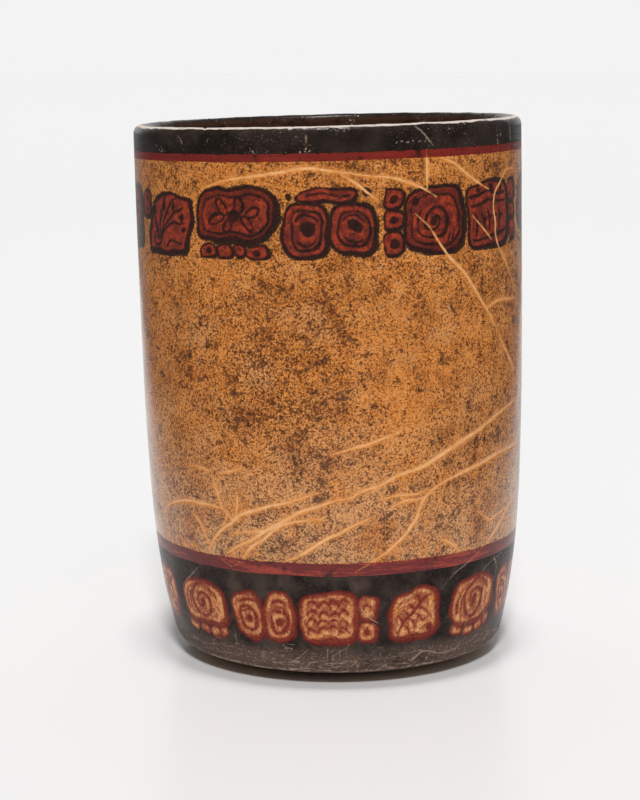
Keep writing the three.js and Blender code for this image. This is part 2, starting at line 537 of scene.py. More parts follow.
def twin_block():
    """Two ringed ovals side by side, under a leaf."""
    block = Drawing("twin_block")
    for x in (-7.3, 6.7):
        block.cartouche(x, -1.8, 6.6, 7.8, 1.8, 3.0)
        block.stroke(ring(x + 0.2, -1.6, 4.3, 5.4, 2.6), 1.0, whole=True)
        block.stroke(bow((x - 2.6, 0.8), (x + 3.0, 0.8), 1.9), 1.0)
        block.dot(x + 0.2, -1.0, 1.9)
        block.stroke(bow((x - 2.2, -4.6), (x + 2.6, -4.6), -1.2), 1.0)
    block.cartouche(-0.6, 8.2, 8.4, 2.2, 1.2, 2.4)
    block.stroke([(-6.4, 8.2), (-1, 8.5), (5.4, 8.2)], 0.8)
    block.dot(10.8, 8.6, 1.0)
    block.dot(-11.4, 8.4, 1.0)
    return block


def plume_block():
    """A fan of plumes that springs from a scroll."""
    block = Drawing("plume_block")
    outline = [*bow((-9.0, -9.0), (13.4, 5.8), 9.6, 16), *bow((13.4, 5.8), (10.2, -9.0), 1.6), (0, -9.8)]
    block.patch(outline, FILL)
    block.stroke(outline, 1.9, whole=True)
    for i, (x, y) in enumerate(((-3.0, 7.2), (2.4, 8.7), (7.6, 8.1), (11.0, 5.4), (11.4, 1.0))):
        block.stroke(bow((-3.4 + 0.6 * i, -5.6 + 0.4 * i), (x - 0.8, y - 1.2), 1.6), 1.2)
        block.dot(x - 2.4 + 0.3 * i, y - 4.1 + 0.2 * i, 0.8)
    block.stroke(coil(-3.9, -5.4, 3.2, 0.9, 1.4, 0.6, 24), 1.2)
    block.stroke(bow((1.0, -7.6), (9.0, -6.8), 1.2), 1.0)
    block.cartouche(-10.6, 5.0, 3.4, 4.0, 1.3)
    block.stroke(bow((-12.2, 4.2), (-9.0, 4.2), -1.6), 0.9)
    block.dot(-10.6, 6.4, 1.0)
    return block


def comb_block():
    """Bars over the teeth of a comb, with a column of lobes beside them."""
    block = Drawing("comb_block")
    block.cartouche(-3.1, 0, 10.6, 9.7, 1.9, 4.4)
    block.stroke(bow((-12.0, 5.6), (5.4, 6.2), 0.5), 1.3, 0.8)
    block.stroke(bow((-11.8, 3.2), (5.4, 3.6), 0.4), 1.0, 0.8)
    for i in range(5):
        x = -10.8 + 3.1 * i
        block.stroke(bow((x, 1.4), (x + 0.5, -4.4), 0.5), 1.3, 0.7)
        block.dot(x + 1.6, -1.2, 0.5)
    block.stroke(bow((-11.8, -5.8), (5.6, -5.6), -1.1), 1.3, 0.8)
    for x in (-8.4, -2.8, 2.4):
        block.dot(x, 7.7, 0.7)
    for y, half in ((6.2, 3.3), (-0.3, 2.9), (-6.6, 3.1)):
        block.cartouche(10.9, y, 3.0, half, 1.2)
        block.stroke(bow((9.4, y - 0.8), (12.4, y - 0.8), -1.5), 0.9)
    return block


def seed_block():
    """A slanting seed in an oval, with hooks under it."""
    block = Drawing("seed_block")
    block.cartouche(0.6, 1.9, 13.0, 8.2, 2.0, 3.0, inset=2.2)
    block.stroke([*bow((-5.2, -1.6), (7.0, 5.4), 3.0), *bow((7.0, 5.4), (-5.2, -1.6), 3.0)], 1.3, 0.9)
    block.stroke(bow((-3.4, -0.4), (5.0, 4.4), 0.6), 0.9)
    block.dot(0.8, 1.9, 1.9)
    block.dot(-6.6, 4.0, 1.0)
    block.dot(7.6, -0.8, 1.1)
    block.stroke(bow((-8.0, -1.0), (-4.6, -3.4), -0.8), 0.9)
    block.stroke(bow((-11.4, -7.4), (-5.2, -8.4), -2.0), 1.7)
    block.stroke(bow((-3.4, -8.8), (2.2, -9.0), -1.4), 1.5)
    block.stroke(bow((4.2, -8.8), (10.4, -7.4), -2.1), 1.7)
    return block


def low_coil_block():
    """A spiral in an oval, with a tail."""
    block = Drawing("low_coil_block")
    block.cartouche(0, 1.0, 10.8, 7.2, 2.0, 3.0)
    block.stroke(coil(0.2, 1.0, 6.8, 1.4, 1.7, 0.4), 1.3)
    block.dot(0.2, 1.0, 1.2)
    for x in (-8.2, -6.4):
        block.stroke(bow((x, -1.6), (x + 0.4, 3.4), 0.6), 0.9)
    for x, half in ((-7.4, 2.9), (-1.2, 2.4), (4.2, 2.2), (8.6, 1.7)):
        block.cartouche(x, -8.6 + 0.02 * x * x, half, 1.5, 0.9, turn=0.06 * x)
    return block


def low_leaf_block():
    """A veined leaf."""
    block = Drawing("low_leaf_block")
    block.cartouche(0, 0, 8.6, 8.0, 2.0, 3.8)
    block.stroke(bow((-6.0, -5.4), (6.2, 5.4), 1.2), 1.3)
    for x, y in ((-4.2, -3.6), (-2.2, -1.4), (0.0, 0.6), (2.2, 2.4)):
        block.stroke(bow((x, y), (x + 2.8, y - 3.2), 0.6), 1.0)
        block.stroke(bow((x, y), (x - 2.0, y + 3.4), -0.6), 1.0)
    block.dot(5.4, -4.8, 1.0)
    return block


def low_wave_block():
    """Rows of short bows between two bars."""
    block = Drawing("low_wave_block")
    block.cartouche(-3.4, 0, 9.2, 8.0, 2.0, 4.0)
    for y in (4.2, 1.2, -1.8, -4.8):
        for x in (-10.2, -6.8, -3.4, 0.0):
            block.stroke(bow((x, y), (x + 3.2, y + 0.6), 1.5), 1.1)
    block.cartouche(9.8, 4.0, 3.4, 3.6, 1.4)
    block.stroke(bow((8.2, 3.4), (11.2, 4.2), 1.2), 0.9)
    block.cartouche(9.8, -4.0, 3.2, 3.4, 1.4)
    block.dot(9.8, -4.0, 0.9)
    return block


def low_drop_block():
    """Two drops that hang side by side."""
    block = Drawing("low_drop_block")
    for x, turn in ((-5.6, 0.2), (5.6, -0.12)):
        block.cartouche(x, 0, 5.3, 7.8, 1.9, 2.6, turn)
        block.stroke(ring(x, -0.8, 2.7, 4.2, 2.0, turn), 1.1, whole=True)
        block.dot(x, -1.2, 1.1)
        block.stroke(bow((x - 2.4, 4.4), (x + 2.6, 4.4), 0.9), 1.1)
        block.stroke(bow((x - 1.6, 1.4), (x + 1.8, 1.4), 0.8), 0.9)
    return block


UPPER_BLOCKS = (coil_block, comb_block, seed_block, step_block, plume_block, petal_block, twin_block)
LOWER_BLOCKS = (low_leaf_block, low_coil_block, low_drop_block, low_wave_block)

# Where roots have etched the front of the vase, and where it is scratched: the width in millimetres, and
# the way round in degrees, from the front to the right, with the height in millimetres.
ROOT_MARKS = (
    (
        2.0,
        ((68, 93), (57, 91), (47, 87), (39, 84), (31, 80), (25, 77), (18, 75), (13, 72), (7, 70), (4, 68),
         (-1, 67)),
    ),
    (1.9, ((4, 68), (-1, 67), (-6, 65), (-11, 63), (-15, 60), (-20, 57), (-25, 53), (-30, 50), (-34, 47))),
    (
        1.7,
        ((-5, 70), (-10, 68), (-15, 66), (-19, 65), (-24, 63), (-29, 61), (-32, 58), (-36, 55), (-40, 50),
         (-42, 47)),
    ),
    (1.1, ((-4, 61), (-11, 60), (-17, 58), (-22, 56), (-28, 55), (-32, 54))),
    (1.3, ((-29, 46), (-26, 50), (-22, 53), (-19, 56), (-15, 59))),
    (1.2, ((-66, 55), (-63, 58), (-57, 61), (-50, 63), (-45, 63), (-40, 63), (-35, 62), (-32, 59))),
    (1.0, ((-32, 59), (-34, 61), (-36, 64), (-37, 68), (-38, 72), (-39, 76))),
    (0.7, ((-42, 49), (-44, 55), (-48, 59))),
    (0.9, ((-31, 60), (-30, 64), (-30, 67))),
    (0.7, ((-35, 75), (-31, 76), (-28, 77))),
    (0.7, ((-45, 76), (-39, 75))),
    (1.6, ((-15, 46), (-11, 48), (-7, 51), (-3, 54), (1, 56), (4, 58), (8, 60), (10, 61))),
    (
        1.5,
        ((10, 46), (14, 48), (17, 51), (20, 54), (22, 57), (24, 60), (25, 64), (27, 67), (29, 69), (33, 71)),
    ),
    (1.6, ((27, 67), (29, 69), (33, 71), (39, 73), (47, 75), (58, 77), (74, 77))),
    (0.9, ((13, 67), (18, 68), (24, 68), (27, 69))),
    (0.9, ((16, 64), (20, 66), (24, 66), (27, 67))),
    (0.7, ((5, 42), (8, 44), (11, 46))),
    (1.7, ((51, 45), (55, 48), (60, 52), (64, 55), (70, 58))),
    (0.6, ((51, 45), (44, 41), (38, 38), (33, 33))),
    (0.6, ((64, 40), (55, 38), (51, 36))),
    (1.2, ((-1, 83), (5, 85), (9, 86), (14, 88), (19, 90))),
    (0.9, ((47, 58), (53, 54), (57, 55), (64, 56))),
    (0.9, ((32, 51), (36, 49), (39, 46))),
    (
        1.3,
        ((-38, 171), (-31, 174), (-25, 175), (-18, 176), (-12, 177), (-6, 178), (0, 177), (6, 176),
         (11, 175), (18, 174)),
    ),
    (1.2, ((11, 175), (18, 174), (23, 172), (27, 170), (31, 167))),
    (1.2, ((3, 176), (7, 173), (10, 170), (13, 167))),
    (1.2, ((28, 183), (28, 177), (28, 172), (28, 170))),
    (
        1.5,
        ((24, 162), (28, 158), (30, 155), (33, 150), (36, 146), (40, 142), (43, 138), (47, 132), (50, 128),
         (58, 117)),
    ),
    (1.2, ((50, 128), (55, 130), (61, 130), (70, 129))),
    (
        1.2,
        ((68, 174), (62, 174), (58, 170), (55, 167), (54, 162), (55, 157), (55, 153), (57, 148), (61, 143),
         (69, 132)),
    ),
    (1.3, ((32, 180), (37, 178), (42, 174), (48, 170), (52, 168))),
    (0.7, ((44, 160), (48, 156), (53, 151))),
    (1.5, ((57, 117), (63, 110), (68, 104))),
    (0.7, ((24, 191), (27, 188), (30, 184))),
    (0.5, ((-6, 189), (-6, 186))),
    (0.6, ((65, 189), (66, 184))),
    (0.4, ((-47, 189), (-46, 188), (-45, 186))),
    (0.4, ((18.6, 185.4), (19.2, 185.5))),
    (0.4, ((20.2, 185.9), (20.7, 185.7))),
    (0.4, ((21.8, 185.3), (22.5, 185.4))),
    (0.4, ((23.6, 185.7), (24.0, 185.9))),
    (0.4, ((25.4, 185.4), (26.2, 185.6))),
    (0.5, ((-37, 44), (-34, 42), (-31, 43))),
    (0.7, ((-33, 45), (-31, 44), (-29, 44))),
    (0.6, ((-47, 40), (-54, 34), (-59, 30))),
)


def scuff_marks(chance, knot_count=22, level_count=100):
    """Scratches round the lower edge of the foot: knots of short ones, and long level ones."""
    ways = []
    knots = [
        (chance.uniform(-180, 180), chance.uniform(4, 15), chance.randint(2, 6)) for _ in range(knot_count)
    ]
    level = [(chance.uniform(-180, 180), chance.uniform(2, 11), 1) for _ in range(level_count)]
    for middle, height, count in knots + level:
        for _ in range(count):
            angle, z = middle + chance.gauss(0, 5), max(1.5, height + chance.gauss(0, 2.2))
            heading = chance.gauss(0, 0.9 if count > 1 else 0.12)
            half = chance.uniform(1, 4) if count > 1 else chance.uniform(3, 11)
            out, up = half * math.cos(heading), half * math.sin(heading)
            bend = chance.uniform(-0.2, 0.2) * half
            top = angle + bend * math.sin(heading), z + bend
            way = ((angle - out, z - up), top, (angle + out, z + up))
            if all(-180 < a < 180 and h > 1 for a, h in way):
                ways.append((0.1, way))
    return ways


def root_marks(seed, scuffed=False, tries=20):
    """Every root mark: those of the front as they lie, and others that wander over the back.

    Each try gives a mark, unless its way is too short or crosses the seam at the back. The foot has its
    scratches as well.
    """
    chance = random.Random(seed)
    ways = list(ROOT_MARKS)
    for _ in range(tries):
        way = [(chance.uniform(92, 262), chance.uniform(48, 178))]
        heading = chance.uniform(0, math.tau)
        for _ in range(chance.randint(2, 6)):
            heading += chance.uniform(-0.6, 0.6)
            step = chance.uniform(7, 16)
            angle = way[-1][0] + step * math.cos(heading)
            height = way[-1][1] + step * math.sin(heading)
            if not (86 < angle < 270 and 46 < height < 182):
                break
            way.append((angle, height))
        shift = 360 if min(a for a, _ in way) > 180 else 0
        if len(way) > 2 and (shift or max(a for a, _ in way) <= 180):
            ways.append((chance.uniform(0.7, 1.9), [(a - shift, h) for a, h in way]))
    if scuffed:
        ways += scuff_marks(chance)
    drawing = Drawing("root_marks")
    across = math.radians(sizes().body_radius / MM)
    for width, way in ways:
        line = flowing([(a * across, h) for a, h in way], 1.5)
        drawing.stroke(line, 0.5 * width + 2 * STROKE_REACH / MM, 0.4)
    return drawing.thing()


def row_tree():
    """Sets the blocks out in a row, each a little turned and no two neighbours alike."""
    tree = new_tree(
        "row_of_blocks",
        {
            "Blocks": "Collection",
            "Kinds": "Int",
            "Count": "Int",
            "Round": "Float",
            "Middle": "Float",
            "Size": "Float",
            "Tilt": "Float",
            "Seed": "Int",
            "Finish": "Material",
        },
    )
    given = add_node(tree, "NodeGroupInput").outputs
    around = given["Round"]
    pitch = add_node(tree, "ShaderNodeMath", {0: around, 1: given["Count"]}, operation="DIVIDE").outputs[0]
    start = add_node(tree, "ShaderNodeMath", {0: pitch, 1: around}, operation="SUBTRACT").outputs[0]
    start = add_node(tree, "ShaderNodeMath", {0: start, 1: 0.5}, operation="MULTIPLY").outputs[0]
    first = add_node(tree, "ShaderNodeCombineXYZ", {"X": start, "Y": given["Middle"]}).outputs[0]
    places = add_node(
        tree,
        "GeometryNodeMeshLine",
        {
            "Count": given["Count"],
            "Start Location": first,
            "Offset": add_node(tree, "ShaderNodeCombineXYZ", {"X": pitch}).outputs[0],
        },
        mode="OFFSET",
    ).outputs[0]
    index = add_node(tree, "GeometryNodeInputIndex").outputs[0]
    kind = add_node(tree, "ShaderNodeMath", {0: index, 1: given["Kinds"]}, operation="MODULO").outputs[0]
    against = add_node(tree, "ShaderNodeMath", {0: given["Tilt"], 1: -1.0}, operation="MULTIPLY").outputs[0]
    tilt = add_node(
        tree,
        "FunctionNodeRandomValue",
        {"Min": against, "Max": given["Tilt"], "Seed": given["Seed"]},
        data_type="FLOAT",
    )
    least, greatest = BLOCK_SPREAD
    swell = add_node(
        tree,
        "FunctionNodeRandomValue",
        {"Min": least, "Max": greatest, "Seed": given["Seed"]},
        data_type="FLOAT",
    )
    size = add_node(
        tree, "ShaderNodeMath", {0: swell.outputs["Value"], 1: given["Size"]}, operation="MULTIPLY"
    ).outputs[0]
    blocks = add_node(
        tree, "GeometryNodeCollectionInfo", {"Collection": given["Blocks"], "Separate Children": True}
    ).outputs[0]
    row = add_node(
        tree,
        "GeometryNodeInstanceOnPoints",
        {
            "Points": places,
            "Instance": blocks,
            "Pick Instance": True,
            "Instance Index": kind,
            "Rotation": add_node(tree, "ShaderNodeCombineXYZ", {"Z": tilt.outputs["Value"]}).outputs[0],
            "Scale": size,
        },
    ).outputs[0]
    row = add_node(tree, "GeometryNodeRealizeInstances", {"Geometry": row}).outputs[0]
    row = add_node(
        tree, "GeometryNodeSetMaterial", {"Geometry": row, "Material": given["Finish"]}
    ).outputs[0]
    add_node(tree, "NodeGroupOutput", {0: row})
    return tree


def row_of_blocks(name, kinds, count, middle, size):
    """The drawn blocks of one band, laid out on the flat."""
    blocks = bpy.data.collections.new(name + "_kinds")
    bpy.context.scene.collection.children.link(blocks)
    things = [kind().thing() for kind in kinds]
    for number, thing in enumerate(things):
        thing.name = f"{name}_{number}"
        blocks.objects.link(thing)
    values = {
        "Blocks": blocks,
        "Kinds": len(kinds),
        "Count": count,
        "Round": math.tau * sizes().body_radius,
        "Middle": middle,
        "Size": size,
        "Tilt": BLOCK_TILT,
        "Seed": bpy.context.scene.vase_ornament.seed,
    }
    row = made(name, bpy.data.node_groups.get("row_of_blocks") or row_tree(), values)
    for thing in things:
        bpy.data.objects.remove(thing)
    bpy.data.collections.remove(blocks)
    return row


def turning_tree():
    """Sweeps a section round the axis and leaves it as the hand left it.

    The paint and the root marks are drawn on the flat: across by the way round the vase, and up by
    height. Each point keeps its distance to them, which the finishes read. A point nearer the axis than
    the outside radius lies on the inside of the vase, where neither is drawn.
    """
    tree = new_tree(
        "turned_by_hand",
        {
            "Section": "Object",
            "Paint": "Object",
            "Roots": "Object",
            "Columns": "Int",
            "Height": "Float",
            "Body Radius": "Float",
            "Lean": "Float",
            "Drop": "Float",
            "Unevenness": "Float",
            "Wander": "Float",
            "Etching": "Float",
            "Chips": "Float",
            "Lip Height": "Float",
            "Outside Radius": "Float",
            "Finish": "Material",
        },
    )
    given = add_node(tree, "NodeGroupInput").outputs
    body = given["Body Radius"]
    section = add_node(tree, "GeometryNodeObjectInfo", {"Object": given["Section"]}).outputs["Geometry"]
    rows = add_node(tree, "GeometryNodeAttributeDomainSize", {"Geometry": section}).outputs["Point Count"]
    grid = add_node(
        tree,
        "GeometryNodeMeshGrid",
        {"Size X": 1.0, "Size Y": 1.0, "Vertices X": given["Columns"], "Vertices Y": rows},
    )
    position = add_node(tree, "GeometryNodeInputPosition").outputs[0]
    place = add_node(tree, "ShaderNodeSeparateXYZ", {0: position}).outputs
    angle = add_node(tree, "ShaderNodeMath", {0: place["X"], 1: math.tau}, operation="MULTIPLY").outputs[0]
    share = add_node(tree, "ShaderNodeMath", {0: place["Y"], 1: 0.5}, operation="ADD").outputs[0]
    last_row = add_node(tree, "ShaderNodeMath", {0: rows, 1: 1.0}, operation="SUBTRACT").outputs[0]
    row = add_node(tree, "ShaderNodeMath", {0: share, 1: last_row}, operation="MULTIPLY").outputs[0]
    row = add_node(tree, "ShaderNodeMath", {0: row}, operation="ROUND").outputs[0]
    sampled = add_node(
        tree,
        "GeometryNodeSampleIndex",
        {"Geometry": section, "Value": position, "Index": row},
        data_type="FLOAT_VECTOR",
        domain="POINT",
    )
    on_section = add_node(tree, "ShaderNodeSeparateXYZ", {0: sampled.outputs[0]}).outputs
    radius, run, height = on_section["X"], on_section["Y"], on_section["Z"]

    # The flat, and where the hand's small tremor bends every stroke a little.
    across = add_node(tree, "ShaderNodeMath", {0: angle, 1: body}, operation="MULTIPLY").outputs[0]
    indoors = add_node(
        tree, "ShaderNodeMath", {0: radius, 1: given["Outside Radius"]}, operation="LESS_THAN"
    ).outputs[0]
    away = add_node(tree, "ShaderNodeMath", {0: indoors, 1: FAR}, operation="MULTIPLY").outputs[0]
    flat = add_node(tree, "ShaderNodeCombineXYZ", {"X": across, "Y": height, "Z": away}).outputs[0]
    tremor = add_node(
        tree,
        "ShaderNodeTexNoise",
        {"Vector": flat, "Scale": 1 / TREMOR_LENGTH, "Detail": 1.0, "Roughness": 0.4},
    ).outputs["Color"]
    bent = add_node(
        tree,
        "ShaderNodeVectorMath",
        {0: tremor, 1: (2 * TREMOR, 2 * TREMOR, 0), 2: flat},
        operation="MULTIPLY_ADD",
    ).outputs[0]
    bent = add_node(
        tree, "ShaderNodeVectorMath", {0: bent, 1: (-TREMOR, -TREMOR, 0)}, operation="ADD"
    ).outputs[0]

    sheet = grid.outputs["Mesh"]
    kept = {"run": run}
    for name, source, wanted, point in (
        ("ink", "Paint", INK, bent),
        ("fill", "Paint", FILL, bent),
        ("wash", "Paint", WASH, bent),
        ("root", "Roots", None, flat),
    ):
        target = add_node(tree, "GeometryNodeObjectInfo", {"Object": given[source]}).outputs["Geometry"]
        if wanted is not None:
            paint = add_node(tree, "GeometryNodeInputNamedAttribute", {"Name": "paint"}, data_type="INT")
            same = add_node(
                tree,
                "FunctionNodeCompare",
                {"A": paint.outputs["Attribute"], "B": wanted},
                data_type="INT",
                operation="EQUAL",
            )
            target = add_node(
                tree,
                "GeometryNodeSeparateGeometry",
                {"Geometry": target, "Selection": same.outputs[0]},
                domain="FACE",
            ).outputs["Selection"]
        near = add_node(
            tree, "GeometryNodeProximity", {0: target, "Sample Position": point}, target_element="FACES"
        )
        kept[name] = add_node(
            tree,
            "GeometryNodeSwitch",
            {"Switch": near.outputs["Is Valid"], "False": FAR, "True": near.outputs["Distance"]},
            input_type="FLOAT",
        ).outputs[0]

    # Low hollows, straying edges, etched root marks and chips along the lip. A feature of each noise is
    # about as large as the body radius over its scale. The level that the vase stands on doesn't stray.
    sine = add_node(tree, "ShaderNodeMath", {0: angle}, operation="SINE").outputs[0]
    cosine = add_node(tree, "ShaderNodeMath", {0: angle}, operation="COSINE").outputs[0]
    level = add_node(tree, "ShaderNodeMath", {0: height, 1: body}, operation="DIVIDE").outputs[0]
    about = add_node(tree, "ShaderNodeCombineXYZ", {"X": sine, "Y": cosine, "Z": level}).outputs[0]
    hollows = add_node(
        tree, "ShaderNodeTexNoise", {"Vector": about, "Scale": 2.3, "Detail": 2.0, "Roughness": 0.4}
    ).outputs[0]
    strays = add_node(
        tree, "ShaderNodeTexNoise", {"Vector": about, "Scale": 6.1, "Detail": 3.0, "Roughness": 0.6}
    ).outputs[0]
    nicks = add_node(
        tree, "ShaderNodeTexNoise", {"Vector": about, "Scale": 17.0, "Detail": 2.5, "Roughness": 0.65}
    ).outputs[0]
    nicked = add_node(
        tree, "ShaderNodeMapRange", {"Value": nicks, "From Min": 0.63, "From Max": 0.74}
    ).outputs[0]
    near_lip = add_node(
        tree,
        "ShaderNodeMapRange",
        {"Value": height, "From Min": given["Lip Height"], "From Max": given["Height"]},
    ).outputs[0]
    kept["chip"] = both(tree, nicked, near_lip)
    etched = add_node(
        tree,
        "ShaderNodeMapRange",
        {"Value": kept["root"], "From Min": 0.6 * MM, "From Max": 0.0},
        interpolation_type="SMOOTHSTEP",
    ).outputs[0]
    for depth in (both(tree, hollows, given["Unevenness"]), both(tree, etched, given["Etching"])):
        radius = add_node(tree, "ShaderNodeMath", {0: radius, 1: depth}, operation="SUBTRACT").outputs[0]
    radius = add_node(tree, "ShaderNodeMath", {0: radius, 1: 0.0}, operation="MAXIMUM").outputs[0]
    above_foot = add_node(
        tree, "ShaderNodeMapRange", {"Value": height, "From Min": 6 * MM, "From Max": 20 * MM}
    ).outputs[0]
    for drop in (both(tree, strays, given["Wander"], above_foot), both(tree, kept["chip"], given["Chips"])):
        height = add_node(tree, "ShaderNodeMath", {0: height, 1: drop}, operation="SUBTRACT").outputs[0]

    # The place of each point, with the lean of the wall and the slope of the lip.
    rise = add_node(tree, "ShaderNodeMath", {0: height, 1: given["Height"]}, operation="DIVIDE").outputs[0]
    x = add_node(tree, "ShaderNodeMath", {0: radius, 1: sine}, operation="MULTIPLY").outputs[0]
    y = add_node(tree, "ShaderNodeMath", {0: radius, 1: cosine}, operation="MULTIPLY").outputs[0]
    y = add_node(tree, "ShaderNodeMath", {0: y, 1: -1.0}, operation="MULTIPLY").outputs[0]
    lean = add_node(tree, "ShaderNodeMath", {0: rise, 1: given["Lean"]}, operation="MULTIPLY").outputs[0]
    leaning = add_node(tree, "ShaderNodeMath", {0: x, 1: lean}, operation="SUBTRACT").outputs[0]
    slope = add_node(tree, "ShaderNodeMath", {0: given["Drop"], 1: body}, operation="DIVIDE").outputs[0]
    slope = add_node(tree, "ShaderNodeMath", {0: slope, 1: 0.5}, operation="MULTIPLY").outputs[0]
    slope = add_node(tree, "ShaderNodeMath", {0: slope, 1: rise}, operation="MULTIPLY").outputs[0]
    height = add_node(
        tree, "ShaderNodeMath", {0: x, 1: slope, 2: height}, operation="MULTIPLY_ADD"
    ).outputs[0]
    spot = add_node(tree, "ShaderNodeCombineXYZ", {"X": leaning, "Y": y, "Z": height}).outputs[0]

    for name, value in kept.items():
        sheet = add_node(
            tree,
            "GeometryNodeStoreNamedAttribute",
            {"Geometry": sheet, "Name": name, "Value": value},
            data_type="FLOAT",
            domain="POINT",
        ).outputs["Geometry"]
    sheet = add_node(
        tree,
        "GeometryNodeStoreNamedAttribute",
        {"Geometry": sheet, "Name": "UVMap", "Value": grid.outputs["UV Map"]},
        data_type="FLOAT2",
        domain="CORNER",
    ).outputs["Geometry"]
    sheet = add_node(tree, "GeometryNodeSetPosition", {"Geometry": sheet, "Position": spot}).outputs[0]
    sheet = add_node(
        tree, "GeometryNodeMergeByDistance", {"Geometry": sheet, "Distance": 0.001 * MM}
    ).outputs[0]
    bend = add_node(tree, "GeometryNodeInputMeshEdgeAngle").outputs["Unsigned Angle"]
    sharp = add_node(tree, "ShaderNodeMath", {0: bend, 1: SHARP_EDGE}, operation="GREATER_THAN").outputs[0]
    sheet = add_node(
        tree,
        "GeometryNodeSetShadeSmooth",
        {"Geometry": sheet, "Selection": sharp, "Shade Smooth": False},
        domain="EDGE",
    ).outputs[0]
    sheet = add_node(tree, "GeometryNodeRealizeInstances", {"Geometry": sheet}).outputs[0]
    sheet = add_node(
        tree, "GeometryNodeSetMaterial", {"Geometry": sheet, "Material": given["Finish"]}
    ).outputs[0]
    add_node(tree, "NodeGroupOutput", {0: sheet})
    return tree


def turned(name, section, column, finish, node, paint=None, roots=None, outside=0.0):
    """A finished piece turned from its section, which takes the place of the part's CAD node.

    No paint and no root mark shows on it nearer the axis than the outside radius.
    """
    form = sizes()
    run, points = 0.0, []
    for i, (radius, height) in enumerate(section):
        if i:
            run += math.dist(section[i - 1], section[i])
        points.append((radius, run, height))
    if section[-1] == section[0]:
        points[-1] = points[0]
    widest = max(radius for radius, _ in section)
    guide = helper(name + "_section", points)
    values = {
        "Section": guide,
        "Columns": round(math.tau * widest / column) + 1,
        "Height": form.height,
        "Body Radius": form.body_radius,
        "Lean": form.rim_lean,
        "Drop": form.rim_drop,
        "Unevenness": form.unevenness,
        "Wander": form.wander,
        "Etching": form.etching,
        "Chips": form.chips,
        "Lip Height": lip_spring() + CHIPS_START,
        "Outside Radius": outside,
        "Finish": finish,
    }
    if paint:
        values["Paint"] = paint
    if roots:
        values["Roots"] = roots
    piece = made(name, bpy.data.node_groups.get("turned_by_hand") or turning_tree(), values)
    bpy.data.objects.remove(guide)
    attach(piece, "root")
    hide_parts(node)
    return piece


def clouds(tree, spot, size, low, high, seed, strength=1.0, detail=2.0):
    """Soft patches of about this size, from none at the noise's low level to full at its high one."""
    noise = add_node(
        tree,
        "ShaderNodeTexNoise",
        {"Vector": spot, "W": seed, "Scale": 1 / size, "Detail": detail, "Roughness": 0.55},
        noise_dimensions="4D",
    ).outputs[0]
    return add_node(
        tree,
        "ShaderNodeMapRange",
        {"Value": noise, "From Min": low, "From Max": high, "To Max": strength},
        interpolation_type="SMOOTHSTEP",
    ).outputs[0]


def specks(tree, spot, size, level, soft, seed, strength=1.0, crowding=None):
    """Irregular dots about half this size, which stand closer where crowding is high."""
    noise = add_node(
        tree,
        "ShaderNodeTexNoise",
        {"Vector": spot, "W": seed, "Scale": 1 / size, "Detail": 1.0, "Roughness": 0.6},
        noise_dimensions="4D",
    ).outputs[0]
    if crowding:
        noise = add_node(
            tree, "ShaderNodeMath", {0: crowding, 1: CROWDING_LIFT, 2: noise}, operation="MULTIPLY_ADD"
        ).outputs[0]
    return add_node(
        tree,
        "ShaderNodeMapRange",
        {"Value": noise, "From Min": level, "From Max": level + soft, "To Max": strength},
    ).outputs[0]


def hairlines(tree, spot, size, width, seed, strength=1.0):
    """Fine scratches that wander and break off: level lines of a slow noise, which a second one cuts."""
    noise = add_node(
        tree,
        "ShaderNodeTexNoise",
        {"Vector": spot, "W": seed, "Scale": 1 / size, "Detail": 0.6, "Roughness": 0.4},
        noise_dimensions="4D",
    ).outputs[0]
    off = add_node(tree, "ShaderNodeMath", {0: noise, 1: 0.5}, operation="SUBTRACT").outputs[0]
    off = add_node(tree, "ShaderNodeMath", {0: off}, operation="ABSOLUTE").outputs[0]
    line = add_node(
        tree,
        "ShaderNodeMapRange",
        {"Value": off, "From Min": width, "From Max": 0.3 * width, "To Max": strength},
    ).outputs[0]
    return both(tree, line, clouds(tree, spot, 0.6 * size, 0.5, 0.6, seed + 3.1))


def scratches(tree, spot, size, width, seed, strength=1.0):
    """Short straight scratches: the walls between scattered cells, where two noises let them show."""
    cells = add_node(
        tree,
        "ShaderNodeTexVoronoi",
        {"Vector": spot, "W": seed, "Scale": 1 / size},
        voronoi_dimensions="4D",
        feature="DISTANCE_TO_EDGE",
    ).outputs["Distance"]
    half = width / size / 2
    line = add_node(
        tree,
        "ShaderNodeMapRange",
        {"Value": cells, "From Min": half, "From Max": 0.4 * half, "To Max": strength},
    ).outputs[0]
    return both(
        tree,
        line,
        clouds(tree, spot, 0.5 * size, 0.48, 0.56, seed + 3.1),
        clouds(tree, spot, 2.5 * size, 0.35, 0.6, seed + 4.2),
    )


def within(tree, spot, name, reach, soft, ragged, strength=1.0, grain=0.9 * MM):
    """Where a kept distance is less than its reach, with a soft edge that a fine noise makes ragged."""
    away = add_node(tree, "ShaderNodeAttribute", attribute_name=name).outputs["Fac"]
    noise = add_node(
        tree, "ShaderNodeTexNoise", {"Vector": spot, "Scale": 1 / grain, "Detail": 2.0}
    ).outputs[0]
    strayed = add_node(
        tree, "ShaderNodeMath", {0: noise, 1: 2 * ragged, 2: away}, operation="MULTIPLY_ADD"
    ).outputs[0]
    edge = reach + ragged
    return add_node(
        tree,
        "ShaderNodeMapRange",
        {"Value": strayed, "From Min": edge + soft / 2, "From Max": edge - soft / 2, "To Max": strength},
    ).outputs[0]


def both(tree, *masks):
    """Masks or values multiplied with each other: of masks, where every one is."""
    kept = masks[0]
    for mask in masks[1:]:
        kept = add_node(tree, "ShaderNodeMath", {0: kept, 1: mask}, operation="MULTIPLY").outputs[0]
    return kept


